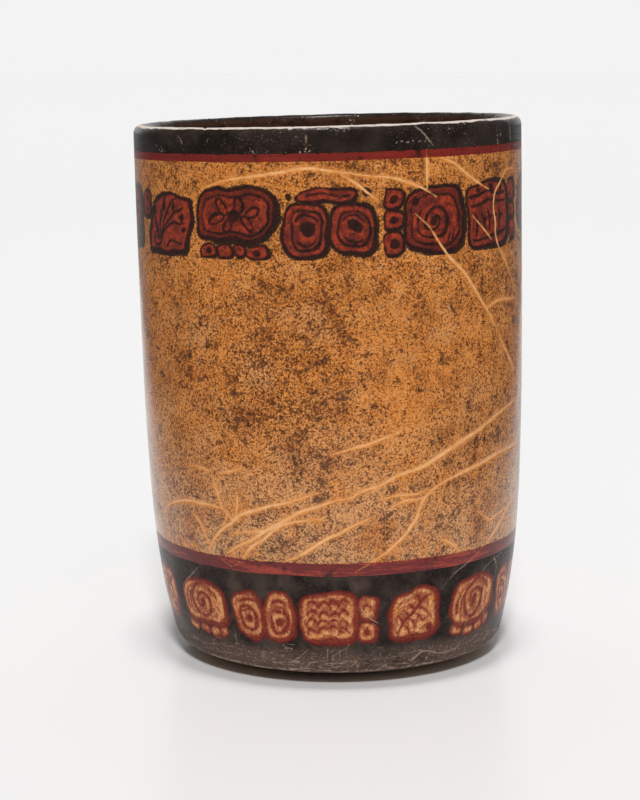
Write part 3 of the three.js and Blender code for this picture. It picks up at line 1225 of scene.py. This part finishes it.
def laid_over(tree, ground, *layers):
    """Colours laid over a ground one after another, each where its mask is."""
    for mask, shade in layers:
        feeds = {"Factor": mask, "A": ground, "B": shade}
        ground = add_node(tree, "ShaderNodeMix", feeds, data_type="RGBA").outputs["Result"]
    return ground


def height_mask(tree, spot, low, high, strength=1.0):
    """From none at one height to full at the other."""
    z = add_node(tree, "ShaderNodeSeparateXYZ", {0: spot}).outputs["Z"]
    return add_node(
        tree, "ShaderNodeMapRange", {"Value": z, "From Min": low, "From Max": high, "To Max": strength}
    ).outputs[0]


def new_finish(name, specular, skin=0.0):
    """A material of fired clay or slip, its tree, and the place of a point on it.

    Specular is its share of mirror gloss, and skin that of the glassy layer that burnishing leaves.
    """
    material = bpy.data.materials.new(name)
    material.use_nodes = True
    tree = material.node_tree
    shader = tree.nodes["Principled BSDF"]
    shader.inputs["IOR"].default_value = FIRED_IOR
    shader.inputs["Specular IOR Level"].default_value = specular
    shader.inputs["Coat Weight"].default_value = skin
    shader.inputs["Coat Roughness"].default_value = SKIN_ROUGHNESS
    return material, tree, add_node(tree, "ShaderNodeTexCoord").outputs["Object"]


def surfaced(tree, shade, dull, low, high, relief, depth):
    """Gives the shader its colour, its roughness from low to high where it is dull, and its relief."""
    shader = tree.nodes["Principled BSDF"]
    tree.links.new(shade, shader.inputs["Base Color"])
    rough = add_node(tree, "ShaderNodeMapRange", {"Value": dull, "To Min": low, "To Max": high}).outputs[0]
    tree.links.new(rough, shader.inputs["Roughness"])
    bump = add_node(tree, "ShaderNodeBump", {"Height": relief, "Distance": depth}).outputs[0]
    tree.links.new(bump, shader.inputs["Normal"])


def burnish(tree, spot, seed):
    """The grain of the slip, and the low facets that the burnishing stone left along the wall."""
    grain = add_node(
        tree, "ShaderNodeTexNoise", {"Vector": spot, "Scale": 1 / (0.7 * MM), "Detail": 2.0}
    ).outputs[0]
    along = add_node(tree, "ShaderNodeVectorMath", {0: spot, 1: (1, 1, 5)}, operation="MULTIPLY").outputs[0]
    facets = clouds(tree, along, 9 * MM, 0.3, 0.7, seed)
    return add_node(
        tree, "ShaderNodeMath", {0: facets, 1: 2.0, 2: grain}, operation="MULTIPLY_ADD"
    ).outputs[0]


def orange_slip():
    """Iron-bearing slip, brushed on and burnished with a smooth stone before a low firing.

    That gives a satin orange ground under a thin glassy skin. Dark mineral grains in the clay and stain
    from the soil speckle it, and roots have etched pale lines into it. The red and black ornament is the
    same kind of slip.
    """
    paint = colours()
    material, tree, spot = new_finish("burnished_orange_slip", 0.42, skin=0.4)
    drift = clouds(tree, spot, 30 * MM, 0.38, 0.62, 1.0)
    patches = clouds(tree, spot, 8 * MM, 0.36, 0.66, 2.0, detail=3.0)
    # Paler towards the bottom of the ground, from about 105 mm down, in patches.
    worn = both(
        tree, height_mask(tree, spot, 105 * MM, 50 * MM, 0.85), clouds(tree, spot, 12 * MM, 0.3, 0.6, 4.0)
    )
    bare = clouds(tree, spot, 9 * MM, 0.62, 0.74, 3.5)
    ground = laid_over(
        tree,
        paint.orange,
        (clouds(tree, spot, 8 * MM, 0.36, 0.66, 2.0, 0.55, 3.0), paint.orange_deep),
        (clouds(tree, spot, 16 * MM, 0.5, 0.72, 3.0, 0.4), paint.orange_thin),
        (worn, paint.orange_thin),
        (specks(tree, spot, 1.3 * MM, 0.53, 0.1, 3.8, 0.4), paint.orange_thin),
        (specks(tree, spot, 1.5 * MM, 0.53, 0.12, 3.9, 0.35), paint.stain),
    )
    crowding = add_node(
        tree, "ShaderNodeMath", {0: both(tree, drift, patches), 1: bare}, operation="SUBTRACT"
    ).outputs[0]
    clusters = clouds(tree, spot, 4.5 * MM, 0.52, 0.68, 6.5, 0.8)
    crowding = add_node(
        tree, "ShaderNodeMath", {0: crowding, 1: 0.6, 2: clusters}, operation="MULTIPLY_ADD"
    ).outputs[0]
    # Specks crowd to the left of the front and thin out to its right: painted shade and painted light as
    # well.
    for middle, share in SPECKS_AND_PAINTED_LIGHT:
        away = add_node(
            tree, "ShaderNodeVectorMath", {0: spot, 1: middle}, operation="DISTANCE"
        ).outputs["Value"]
        near = add_node(
            tree,
            "ShaderNodeMapRange",
            {"Value": away, "From Min": 38 * MM, "From Max": 8 * MM, "To Max": share},
        ).outputs[0]
        crowding = add_node(tree, "ShaderNodeMath", {0: crowding, 1: near}, operation="ADD").outputs[0]
    grains = specks(tree, spot, 0.55 * MM, 0.48, 0.17, 5.0, 0.8, crowding)
    fine = specks(tree, spot, 0.8 * MM, 0.55, 0.1, 5.5, 0.85, crowding)
    dots = specks(tree, spot, 1.7 * MM, 0.595, 0.11, 6.0, 0.72, crowding)
    stains = clouds(tree, spot, 4 * MM, 0.58, 0.76, 7.0, 0.35, 3.0)
    purple = specks(tree, spot, 2.2 * MM, 0.69, 0.05, 8.0, 0.8)
    ground = laid_over(
        tree,
        ground,
        (both(tree, drift, clouds(tree, spot, 18 * MM, 0.35, 0.65, 7.5, 0.22)), paint.stain),
        (stains, paint.stain),
        (grains, paint.grain),
        (fine, paint.speck),
        (dots, paint.blotch),
        (purple, paint.purple),
    )
    mottled = laid_over(
        tree,
        paint.red_fill,
        (clouds(tree, spot, 5 * MM, 0.45, 0.6, 9.3, 0.55), paint.maroon),
        (specks(tree, spot, 2.4 * MM, 0.56, 0.1, 9.6, 0.6), paint.vermilion),
        (clouds(tree, spot, 2.4 * MM, 0.4, 0.66, 9.0, 0.6, 3.0), paint.red_shade),
        (within(tree, spot, "wash", STROKE_REACH, 0.7 * MM, 0.4 * MM, 0.8), paint.red_shade),
        (specks(tree, spot, 0.7 * MM, 0.55, 0.12, 10.0, 0.7), paint.black),
    )
    ink = within(tree, spot, "ink", STROKE_REACH, 0.45 * MM, 0.35 * MM, 0.95, 0.7 * MM)
    thin_ink = both(
        tree,
        within(tree, spot, "fill", 0.0, 0.3 * MM, 0.0),
        clouds(tree, spot, 2.2 * MM, 0.42, 0.62, 11.0, 0.6),
    )
    shown = clouds(tree, spot, 6 * MM, 0.25, 0.6, 12.5)
    shown = add_node(tree, "ShaderNodeMapRange", {"Value": shown, "To Min": 0.6, "To Max": 0.95}).outputs[0]
    beside_root = within(tree, spot, "root", 0.7 * MM, 1.2 * MM, 0.3 * MM, 0.5, 3 * MM)
    root = both(tree, within(tree, spot, "root", 0.2 * MM, 0.3 * MM, 0.25 * MM, 1.0, 2 * MM), shown)
    root_core = both(tree, within(tree, spot, "root", 0.03 * MM, 0.2 * MM, 0.2 * MM, 0.9, 3 * MM), shown)
    shade = laid_over(
        tree,
        ground,
        (beside_root, paint.orange),
        (within(tree, spot, "fill", 0.25 * MM, 0.2 * MM, 0.2 * MM, 0.97), mottled),
        (ink, laid_over(tree, paint.black, (thin_ink, paint.red_shade))),
        (root, paint.root),
        (root_core, paint.root_core),
    )
    relief = burnish(tree, spot, 12.0)
    surfaced(tree, shade, drift, 0.2, 0.3, relief, 0.02 * MM)
    return material


def red_slip(name, dark, below, above, width, depth):
    """Red slip drawn round the turning vase with a full brush, then burnished.

    It is satin, keeps the streaks of the brush, is darker where it lies thick, and lets the neighbouring
    colours through along its edges. Towards its left and right it is darker with painted shade.
    """
    paint = colours()
    material, tree, spot = new_finish(name, 0.34)
    # Painted shade: the red darkens towards the left and the right of the front.
    across = add_node(tree, "ShaderNodeSeparateXYZ", {0: spot}).outputs["X"]
    left = add_node(
        tree,
        "ShaderNodeMapRange",
        {"Value": across, "From Min": 45 * MM, "From Max": -60 * MM, "To Max": 0.9},
    ).outputs[0]
    right = add_node(
        tree,
        "ShaderNodeMapRange",
        {"Value": across, "From Min": 30 * MM, "From Max": 60 * MM, "To Max": 1 - depth},
    ).outputs[0]
    along = add_node(tree, "ShaderNodeVectorMath", {0: spot, 1: (1, 1, 6)}, operation="MULTIPLY").outputs[0]
    drawn = add_node(tree, "ShaderNodeVectorMath", {0: spot, 1: (1, 1, 11)}, operation="MULTIPLY").outputs[0]
    run = add_node(tree, "ShaderNodeAttribute", attribute_name="run").outputs["Fac"]
    top = add_node(tree, "ShaderNodeMath", {0: width, 1: run}, operation="SUBTRACT").outputs[0]
    ragged = add_node(
        tree, "ShaderNodeTexNoise", {"Vector": spot, "Scale": 1 / (1.8 * MM), "Detail": 2.0}
    ).outputs[0]
    top = add_node(
        tree, "ShaderNodeMath", {0: ragged, 1: 1.6 * MM, 2: top}, operation="MULTIPLY_ADD"
    ).outputs[0]
    top = add_node(
        tree, "ShaderNodeMapRange", {"Value": top, "From Min": 0.9 * MM, "From Max": 0.7 * MM, "To Max": 0.9}
    ).outputs[0]
    shade = laid_over(
        tree,
        paint.red,
        (left, dark),
        (right, dark),
        (clouds(tree, along, 16 * MM, 0.25, 0.55, 25.0, depth), dark),
        (clouds(tree, along, 7 * MM, 0.42, 0.66, 21.0, 0.8, 3.0), dark),
        (clouds(tree, drawn, 18 * MM, 0.5, 0.62, 26.0, depth, 3.0), paint.red_streak),
        (specks(tree, spot, 0.9 * MM, 0.54, 0.12, 22.0, 0.65), paint.blotch),
        (clouds(tree, spot, 8 * MM, 0.6, 0.7, 23.0, 0.7), paint.black),
        (within(tree, spot, "run", 0.0, 0.15 * MM, 0.45 * MM, 0.9, 1.8 * MM), below),
        (top, above),
        (within(tree, spot, "root", 0.0, 0.5 * MM, 0.25 * MM, 0.6), paint.root),
    )
    surfaced(tree, shade, ragged, 0.2, 0.3, burnish(tree, spot, 24.0), 0.02 * MM)
    return material


def black_base(tree, spot, thin):
    """Black slip, burnished: near black, with soft grey clouds where it is thin."""
    paint = colours()
    return laid_over(
        tree,
        paint.black,
        (clouds(tree, spot, 7 * MM, 0.4, 0.7, 31.0, thin, 4.0), paint.charcoal),
        (clouds(tree, spot, 24 * MM, 0.45, 0.65, 32.0, 0.6 * thin), paint.charcoal),
        (specks(tree, spot, 0.8 * MM, 0.55, 0.12, 33.0, 0.5 * thin), paint.charcoal),
    )


def rim_slip():
    """Manganese-black slip over the lip, burnished, and rubbed through where hands and covers wore it.

    It is satin black with grey clouds and pale flecks. Its crest is worn to the clay in a thin line that is
    painted paler still as a highlight, and inside the mouth it is a dark brown of dirt and painted shade.
    """
    paint = colours()
    material, tree, spot = new_finish("burnished_black_slip_rim", 0.3)

    # The way along the section from the lower edge of the band. The top of the lip is about 10 mm along it,
    # and from 12 mm on it is the inside.
    run = add_node(tree, "ShaderNodeAttribute", attribute_name="run").outputs["Fac"]
    # The crest: a thin pale line along the top of the lip, worn clay and a painted highlight.
    wander = clouds(tree, spot, 5 * MM, 0.3, 0.7, 40.0, 1.0, 4.0)
    strayed = add_node(
        tree, "ShaderNodeMath", {0: wander, 1: 0.6 * MM, 2: run}, operation="MULTIPLY_ADD"
    ).outputs[0]
    rising = add_node(
        tree, "ShaderNodeMapRange", {"Value": strayed, "From Min": 8.6 * MM, "From Max": 8.9 * MM}
    ).outputs[0]
    falling = add_node(
        tree, "ShaderNodeMapRange", {"Value": strayed, "From Min": 10.6 * MM, "From Max": 10.3 * MM}
    ).outputs[0]
    crest = both(tree, rising, falling, clouds(tree, spot, 4 * MM, 0.2, 0.42, 41.0, 0.95))
    inside = add_node(
        tree, "ShaderNodeMapRange", {"Value": run, "From Min": 12 * MM, "From Max": 14 * MM}
    ).outputs[0]

    # Inside the mouth: the dark inside brown of dirt and painted shade, clouded with black.
    dirt = laid_over(
        tree,
        paint.inside,
        (clouds(tree, spot, 5 * MM, 0.45, 0.65, 42.0, 0.6), paint.black),
        (specks(tree, spot, 2 * MM, 0.56, 0.1, 43.0, 0.6), paint.red_shade),
    )
    chip = add_node(tree, "ShaderNodeAttribute", attribute_name="chip").outputs["Fac"]
    chip = add_node(
        tree, "ShaderNodeMapRange", {"Value": chip, "From Min": 0.4, "From Max": 0.65, "To Max": 0.8}
    ).outputs[0]
    dust = both(
        tree,
        specks(tree, spot, 0.5 * MM, 0.67, 0.05, 47.0, 0.5),
        clouds(tree, spot, 22 * MM, 0.4, 0.6, 48.0),
    )
    flecks = both(
        tree,
        specks(tree, spot, 0.9 * MM, 0.56, 0.08, 44.0, 0.9),
        clouds(tree, spot, 8 * MM, 0.6, 0.7, 45.0),
    )
    shade = laid_over(
        tree,
        black_base(tree, spot, 0.35),
        (inside, dirt),
        (dust, paint.worn),
        (flecks, paint.worn),
        (crest, paint.lip),
        (chip, paint.lip),
        (within(tree, spot, "root", 0.1 * MM, 0.4 * MM, 0.25 * MM, 0.8), paint.worn),
    )
    surfaced(tree, shade, crest, 0.25, 0.5, burnish(tree, spot, 46.0), 0.02 * MM)
    return material


def foot_slip():
    """Black slip round the foot, burnished, with orange blocks painted over it.

    Standing and sliding have scratched and rubbed its lower part to a grey-brown, and a pale line runs
    along the very edge.
    """
    paint = colours()
    material, tree, spot = new_finish("burnished_black_slip_foot", 0.1)
    low = height_mask(tree, spot, 15 * MM, 10 * MM)
    rubbed = both(tree, low, clouds(tree, spot, 9 * MM, 0.25, 0.55, 51.0, 0.85, 3.0))
    brown = clouds(tree, spot, 13 * MM, 0.52, 0.7, 52.0, 0.6, 3.0)
    ground = laid_over(
        tree,
        black_base(tree, spot, 0.9),
        (brown, paint.foot_worn),
        (rubbed, paint.foot_worn),
        (both(tree, low, specks(tree, spot, 0.8 * MM, 0.52, 0.14, 51.5, 0.4)), paint.charcoal),
        (both(tree, low, specks(tree, spot, 0.7 * MM, 0.56, 0.12, 51.8, 0.3)), paint.worn),
    )
    brushed = add_node(
        tree,
        "ShaderNodeMapping",
        {"Vector": spot, "Rotation": (0, math.radians(35), 0), "Scale": (1, 1, 0.28)},
        vector_type="POINT",
    ).outputs[0]
    orange = laid_over(
        tree,
        paint.orange_fill,
        (clouds(tree, spot, 4 * MM, 0.4, 0.62, 53.0, 0.5, 3.0), paint.orange_deep),
        (specks(tree, brushed, 1.4 * MM, 0.46, 0.12, 53.2, 0.75), paint.orange_light),
        (specks(tree, brushed, 1.3 * MM, 0.53, 0.12, 53.5, 0.7), paint.red_wash),
        (within(tree, spot, "ink", 0.8 * MM, 1.0 * MM, 0.4 * MM, 0.6), paint.red_wash),
        (within(tree, spot, "wash", STROKE_REACH + 0.1 * MM, 0.7 * MM, 0.4 * MM, 0.8), paint.red_wash),
        (specks(tree, spot, 0.75 * MM, 0.56, 0.1, 54.0, 0.75), paint.speck),
    )
    outlines = laid_over(
        tree, paint.red_brown, (clouds(tree, spot, 2 * MM, 0.46, 0.66, 55.0, 0.7), paint.red_shade)
    )
    long_scratches = hairlines(tree, spot, 26 * MM, 0.005, 56.0, 0.5)
    cuts = both(
        tree,
        within(tree, spot, "root", 0.08 * MM, 0.22 * MM, 0.1 * MM, 0.65),
        clouds(tree, spot, 3 * MM, 0.35, 0.6, 56.5),
    )
    flattened = add_node(
        tree, "ShaderNodeVectorMath", {0: spot, 1: (1, 1, 4)}, operation="MULTIPLY"
    ).outputs[0]
    scuffs = both(tree, scratches(tree, flattened, 11 * MM, 0.5 * MM, 58.0, 0.45), low)

    # A pale line along the rounded lower edge, 1 mm wide and about 3 mm from where the round starts.
    run = add_node(tree, "ShaderNodeAttribute", attribute_name="run").outputs["Fac"]
    wander = clouds(tree, spot, 5 * MM, 0.3, 0.7, 59.0)
    strayed = add_node(
        tree, "ShaderNodeMath", {0: wander, 1: 1.2 * MM, 2: run}, operation="MULTIPLY_ADD"
    ).outputs[0]
    on_edge = add_node(
        tree, "ShaderNodeMath", {0: strayed, 1: 3.0 * MM, 2: 0.5 * MM}, operation="COMPARE"
    ).outputs[0]
    pale_edge_line = both(tree, on_edge, clouds(tree, spot, 2.5 * MM, 0.42, 0.58, 59.5, 0.75))

    shade = laid_over(
        tree,
        ground,
        (within(tree, spot, "fill", 0.25 * MM, 0.2 * MM, 0.2 * MM, 0.95), orange),
        (within(tree, spot, "ink", STROKE_REACH - 0.05 * MM, 0.55 * MM, 0.45 * MM, 0.9, 0.9 * MM), outlines),
        (long_scratches, paint.worn),
        (scuffs, paint.worn),
        (pale_edge_line, paint.worn),
        (cuts, paint.worn),
    )
    surfaced(tree, shade, rubbed, 0.26, 0.55, burnish(tree, spot, 57.0), 0.03 * MM)
    return material


def fired_clay():
    """Coarse low-fired clay, wiped inside with wet hands and never slipped underneath.

    It is a dull buff under the foot, scuffed and stained, and inside dark with dirt and painted shade.
    """
    paint = colours()
    material, tree, spot = new_finish("low_fired_clay", 0.2)
    under = height_mask(tree, spot, 7 * MM, 5 * MM)
    flat = add_node(tree, "ShaderNodeVectorMath", {0: spot, 1: (1, 1, 0)}, operation="MULTIPLY").outputs[0]
    out = add_node(tree, "ShaderNodeVectorMath", {0: flat}, operation="LENGTH").outputs["Value"]
    worn_ring = add_node(
        tree, "ShaderNodeMath", {0: out, 1: sizes().rest_radius - 3 * MM, 2: 3 * MM}, operation="COMPARE"
    ).outputs[0]
    standing = both(tree, worn_ring, clouds(tree, spot, 4 * MM, 0.42, 0.6, 60.0, 0.6, 4.0))
    bare = laid_over(
        tree,
        paint.clay,
        (clouds(tree, spot, 22 * MM, 0.42, 0.7, 61.0, 0.6, 6.0), paint.clay_stain),
        (clouds(tree, spot, 3 * MM, 0.45, 0.7, 61.5, 0.5, 3.0), paint.clay_stain),
        (standing, paint.worn),
        (specks(tree, spot, 1.6 * MM, 0.6, 0.08, 62.0, 0.6), paint.speck),
        (hairlines(tree, spot, 18 * MM, 0.004, 63.0, 0.4), paint.worn),
    )
    # Inside: dark brown with black clouds, dirt and painted shade of the deep inside.
    dark = laid_over(
        tree,
        paint.inside,
        (clouds(tree, spot, 12 * MM, 0.42, 0.66, 64.0, 0.7, 4.0), paint.black),
        (clouds(tree, spot, 6 * MM, 0.55, 0.7, 65.0, 0.5), paint.clay_stain),
        (specks(tree, spot, 1.8 * MM, 0.6, 0.1, 66.0, 0.5), paint.red_shade),
    )
    shade = laid_over(tree, dark, (under, bare))
    grit = add_node(
        tree, "ShaderNodeTexNoise", {"Vector": spot, "Scale": 1 / (1.1 * MM), "Detail": 3.0}
    ).outputs[0]
    surfaced(tree, shade, grit, 0.7, 0.9, grit, 0.12 * MM)
    return material


class VASE_OT_clay(bpy.types.Operator):
    """Build the clay: the base disc, the wall's courses and the lip coil"""

    bl_idname = "vase.clay"
    bl_label = "Clay"

    def execute(self, context):
        form = sizes()
        finish = fired_clay()
        disc_top = form.base + form.cove + form.pinched + form.bed_drop
        lip_bed = form.height - form.lip_coil
        course = (lip_bed - disc_top) / form.courses
        step = 2 * MM
        cove_centre = inside_radius(form.base) - form.cove, form.base + form.cove
        disc = [
            *[(radius, 0) for radius in evenly(0, form.rest_radius, 4 * step)],
            *foot_edge(0, 0.5 * step),
            *[beside_wall(z, 0) for z in evenly(form.foot_edge, disc_top, step)][1:],
            *inner_wall(form.base + form.cove, disc_top - form.bed_drop, 0, step),
            *arc(cove_centre, form.cove, 0, -math.pi / 2, step)[1:],
            *[(radius, form.base) for radius in evenly(cove_centre[0], 0, 4 * step)][1:],
        ]
        turned("base_disc_fired", disc, CLAY_COLUMN, finish, "base_disc")
        for number in range(1, form.courses + 1):
            low = disc_top + (number - 1) * course + SECTION_GAP
            high = disc_top + number * course
            ring_section = [beside_wall(z, 0) for z in evenly(low, high, 4 * step)]
            ring_section += inner_wall(low - form.bed_drop, high - form.bed_drop, 0, step)
            node = f"wall_course_{number}"
            turned(f"{node}_fired", closed(ring_section), CLAY_COLUMN, finish, node)
        start = lip_bed + SECTION_GAP
        lip = [beside_wall(start, 0), *lip_round(0, 0.5 * step)]
        lip += inner_wall(start - form.bed_drop, lip_spring(), 0, step)[1:]
        turned("lip_coil_fired", closed(lip), CLAY_COLUMN, finish, "lip_coil")
        return {"FINISHED"}


class VASE_OT_rim(bpy.types.Operator):
    """Build the black slip that runs over the lip and down inside the mouth"""

    bl_idname = "vase.rim"
    bl_label = "Rim slip"

    def execute(self, context):
        form = sizes()
        low, end = form.height - form.rim_band + SECTION_GAP, form.height - form.rim_inside
        under, face, step = form.slip_under, form.slip_face, FINE_COLUMN
        section = [beside_wall(z, face) for z in evenly(low, lip_spring(), step)][:-1]
        section += lip_round(face, step)
        section += inner_wall(end, lip_spring(), face, step)[1:]
        section += [(inside_radius(end) - under, end)]
        section += [*lip_round(under, step)[::-1], beside_wall(low, under)]
        roots = root_marks(context.scene.vase_ornament.seed)
        outside = clay_radius(low)
        finish = rim_slip()
        node = "black_rim_slip"
        turned("rim_slip", closed(section), step, finish, node, None, roots, outside)
        bpy.data.objects.remove(roots)
        return {"FINISHED"}


class VASE_OT_lines(bpy.types.Operator):
    """Build the two red lines"""

    bl_idname = "vase.lines"
    bl_label = "Red lines"

    def execute(self, context):
        form, paint = sizes(), colours()
        roots = root_marks(context.scene.vase_ornament.seed)
        upper_top, lower_top = form.height - form.rim_band, form.lower_line_top
        for name, top, width, dark, below, above, depth in (
            ("upper", upper_top, form.upper_line, paint.red_brown, paint.orange_deep, paint.black, 0.2),
            ("lower", lower_top, form.lower_line, paint.maroon, paint.black, paint.orange_deep, 0.75),
        ):
            section = wall_coat(top - width + SECTION_GAP, top, FINE_COLUMN)
            finish = red_slip(f"burnished_red_slip_{name}", dark, below, above, width, depth)
            node = f"{name}_red_line"
            turned(f"{node}_slip", section, FINE_COLUMN, finish, node, None, roots)
        bpy.data.objects.remove(roots)
        return {"FINISHED"}


class VASE_OT_ground(bpy.types.Operator):
    """Build the orange ground, with the upper row of painted blocks"""

    bl_idname = "vase.ground"
    bl_label = "Orange ground"

    def execute(self, context):
        form, ornament = sizes(), context.scene.vase_ornament
        finish = orange_slip()
        roots = root_marks(ornament.seed)
        blocks = row_of_blocks(
            "upper_row", UPPER_BLOCKS, ornament.upper_count, ornament.upper_height, ornament.upper_size
        )
        low = form.lower_line_top + SECTION_GAP
        high = form.height - form.rim_band - form.upper_line
        band = ornament.upper_height - UPPER_BAND_HALF
        middle = (low + band) / 2
        for name, start, end, column, paint in (
            ("orange_ground_low", low, middle, COLUMN, None),
            ("orange_ground_high", middle, band, COLUMN, None),
            ("orange_ground_band", band, high, FINE_COLUMN, blocks),
        ):
            section = wall_coat(start, end, column)
            turned(name, section, column, finish, "orange_ground_slip", paint, roots)
        for thing in (roots, blocks):
            bpy.data.objects.remove(thing)
        return {"FINISHED"}


class VASE_OT_foot(bpy.types.Operator):
    """Build the black slip of the foot, with the lower row of painted blocks"""

    bl_idname = "vase.foot"
    bl_label = "Foot slip"

    def execute(self, context):
        form, ornament = sizes(), context.scene.vase_ornament
        roots = root_marks(ornament.seed, scuffed=True)
        blocks = row_of_blocks(
            "lower_row", LOWER_BLOCKS, ornament.lower_count, ornament.lower_height, ornament.lower_size
        )
        high = form.lower_line_top - form.lower_line
        under, face, step = form.slip_under, form.slip_face, FINE_COLUMN
        section = foot_edge(face, step)
        section += [beside_wall(z, face) for z in evenly(form.foot_edge, high, step)][1:]
        section += [beside_wall(z, under) for z in evenly(high, form.foot_edge, 4 * MM)][:-1]
        section += foot_edge(under, 2 * MM)[::-1]
        turned(
            "foot_slip", closed(section), step, foot_slip(), "black_foot_slip", blocks, roots
        )
        for thing in (roots, blocks):
            bpy.data.objects.remove(thing)
        return {"FINISHED"}


class VASE_OT_stage(bpy.types.Operator):
    """Set the floor, the lights and the camera"""

    bl_idname = "vase.stage"
    bl_label = "Stage"

    def execute(self, context):
        stage = context.scene.vase_stage
        half = stage.floor_half
        corners = [(-half, -half, 0), (half, -half, 0), (half, half, 0), (-half, half, 0)]
        floor = helper("floor", corners, (), [(0, 1, 2, 3)])

        # Studio paper, pressed smooth as it was made. It is white, even and almost without gloss.
        paper = bpy.data.materials.new("matte_paper")
        paper.use_nodes = True
        tree = paper.node_tree
        shader = tree.nodes["Principled BSDF"]
        shader.inputs["Roughness"].default_value = 0.3
        shader.inputs["Specular IOR Level"].default_value = 0.12
        spot = add_node(tree, "ShaderNodeTexCoord").outputs["Object"]
        halves = add_node(
            tree, "ShaderNodeVectorMath", {0: spot, 1: PALE_OVAL}, operation="MULTIPLY"
        ).outputs[0]
        out = add_node(
            tree, "ShaderNodeVectorMath", {0: halves, 1: PALE_OVAL_MIDDLE}, operation="DISTANCE"
        ).outputs["Value"]
        start, end = PALE_OVAL_EDGE
        past = add_node(
            tree, "ShaderNodeMapRange", {"Value": out, "From Min": start, "From Max": end}
        ).outputs[0]
        dark = both(tree, past, add_node(tree, "ShaderNodeLightPath").outputs["Is Glossy Ray"])
        shade = laid_over(tree, stage.paper, (dark, (stage.room, stage.room, stage.room, 1)))
        tree.links.new(shade, shader.inputs["Base Color"])
        floor.data.materials.append(paper)

        # Gloss shows white paper far behind the vase and a dim room round it. The light itself comes from
        # above the floor: an even dome, the pale wall's glow and the paper behind.
        world = bpy.data.worlds.new("white_studio")
        world.use_nodes = True
        tree = world.node_tree
        seen = add_node(tree, "ShaderNodeLightPath").outputs
        way = add_node(tree, "ShaderNodeTexCoord").outputs["Generated"]
        sides = add_node(tree, "ShaderNodeSeparateXYZ", {0: way}).outputs
        room = add_node(
            tree,
            "ShaderNodeMapRange",
            {
                "Value": sides["Y"],
                "From Min": 0.7,
                "From Max": 0.92,
                "To Min": stage.room,
                "To Max": stage.paper[0],
            },
        ).outputs[0]
        towards = math.sin(stage.glow_round), -math.cos(stage.glow_round), 0.1
        facing = add_node(
            tree, "ShaderNodeVectorMath", {0: way, 1: towards}, operation="DOT_PRODUCT"
        ).outputs["Value"]
        strength = add_node(
            tree,
            "ShaderNodeMapRange",
            {
                "Value": facing,
                "From Min": 0.5,
                "From Max": 1.0,
                "To Min": stage.dome,
                "To Max": stage.dome + stage.glow,
            },
        ).outputs[0]
        behind = add_node(
            tree, "ShaderNodeMapRange", {"Value": sides["Y"], "From Max": 0.8, "To Max": stage.backdrop}
        ).outputs[0]
        strength = add_node(tree, "ShaderNodeMath", {0: strength, 1: behind}, operation="ADD").outputs[0]
        raised = add_node(tree, "ShaderNodeMapRange", {"Value": sides["Z"], "From Max": 0.4}).outputs[0]
        strength = both(tree, strength, raised)
        for ray, light in (
            ("Is Glossy Ray", room),
            ("Is Transmission Ray", stage.paper[0]),
            ("Is Camera Ray", stage.paper[0]),
        ):
            feeds = {"Factor": seen[ray], "A": strength, "B": light}
            strength = add_node(tree, "ShaderNodeMix", feeds, data_type="FLOAT").outputs["Result"]
        backdrop = tree.nodes["Background"]
        tree.links.new(strength, backdrop.inputs["Strength"])
        backdrop.inputs["Color"].default_value = (1, 1, 1, 1)
        context.scene.world = world

        for name, tilt, round_to, spread, power, seen_in_gloss in (
            ("overhead_softbox", stage.key_tilt, stage.key_round, stage.key_spread, stage.key_power, True),
            ("front_fill", stage.fill_tilt, stage.fill_round, stage.fill_spread, stage.fill_power, False),
        ):
            light = bpy.data.lights.new(name, "SUN")
            light.energy, light.angle = power, spread
            lamp = bpy.data.objects.new(name, light)
            turn = Matrix.Rotation(round_to, 4, "Z") @ Matrix.Rotation(tilt, 4, "X")
            lamp.matrix_world = turn
            lamp.visible_glossy = seen_in_gloss
            context.scene.collection.objects.link(lamp)

        camera = bpy.data.objects.new("camera", bpy.data.cameras.new("camera"))
        camera.data.lens = stage.lens
        camera.data.sensor_width = 36
        turn = Matrix.Rotation(math.pi / 2 - stage.pitch, 4, "X") @ Matrix.Rotation(stage.roll, 4, "Z")
        camera.matrix_world = Matrix.Translation(Vector(stage.camera_place)) @ turn
        context.scene.collection.objects.link(camera)
        context.scene.camera = camera
        context.scene.view_settings.view_transform = "Standard"
        return {"FINISHED"}


class VASE_PT_panel(bpy.types.Panel):
    """Lists the steps of the vase and their sizes"""

    bl_idname = "VASE_PT_panel"
    bl_label = "Painted cylinder vase"
    bl_space_type = "VIEW_3D"
    bl_region_type = "UI"
    bl_category = "Vase"

    def draw(self, context):
        for step in OPERATORS:
            self.layout.operator(step.bl_idname)
        for group in GROUPS:
            box = self.layout.box()
            settings = getattr(context.scene, group)
            for name in type(settings).__annotations__:
                box.prop(settings, name)


OPERATORS = (VASE_OT_clay, VASE_OT_rim, VASE_OT_lines, VASE_OT_ground, VASE_OT_foot, VASE_OT_stage)
GROUPS = {
    "vase_form": VaseForm,
    "vase_colours": VaseColours,
    "vase_ornament": VaseOrnament,
    "vase_stage": VaseStage,
}


def register():
    for name, group in GROUPS.items():
        bpy.utils.register_class(group)
        setattr(bpy.types.Scene, name, PointerProperty(type=group))
    for kind in (*OPERATORS, VASE_PT_panel):
        bpy.utils.register_class(kind)


def unregister():
    for kind in (VASE_PT_panel, *reversed(OPERATORS)):
        bpy.utils.unregister_class(kind)
    for name, group in reversed(GROUPS.items()):
        delattr(bpy.types.Scene, name)
        bpy.utils.unregister_class(group)


def main():
    register()
    bpy.ops.vase.clay()
    bpy.ops.vase.rim()
    bpy.ops.vase.lines()
    bpy.ops.vase.ground()
    bpy.ops.vase.foot()
    bpy.ops.vase.stage()


if __name__ == "__main__":
    main()
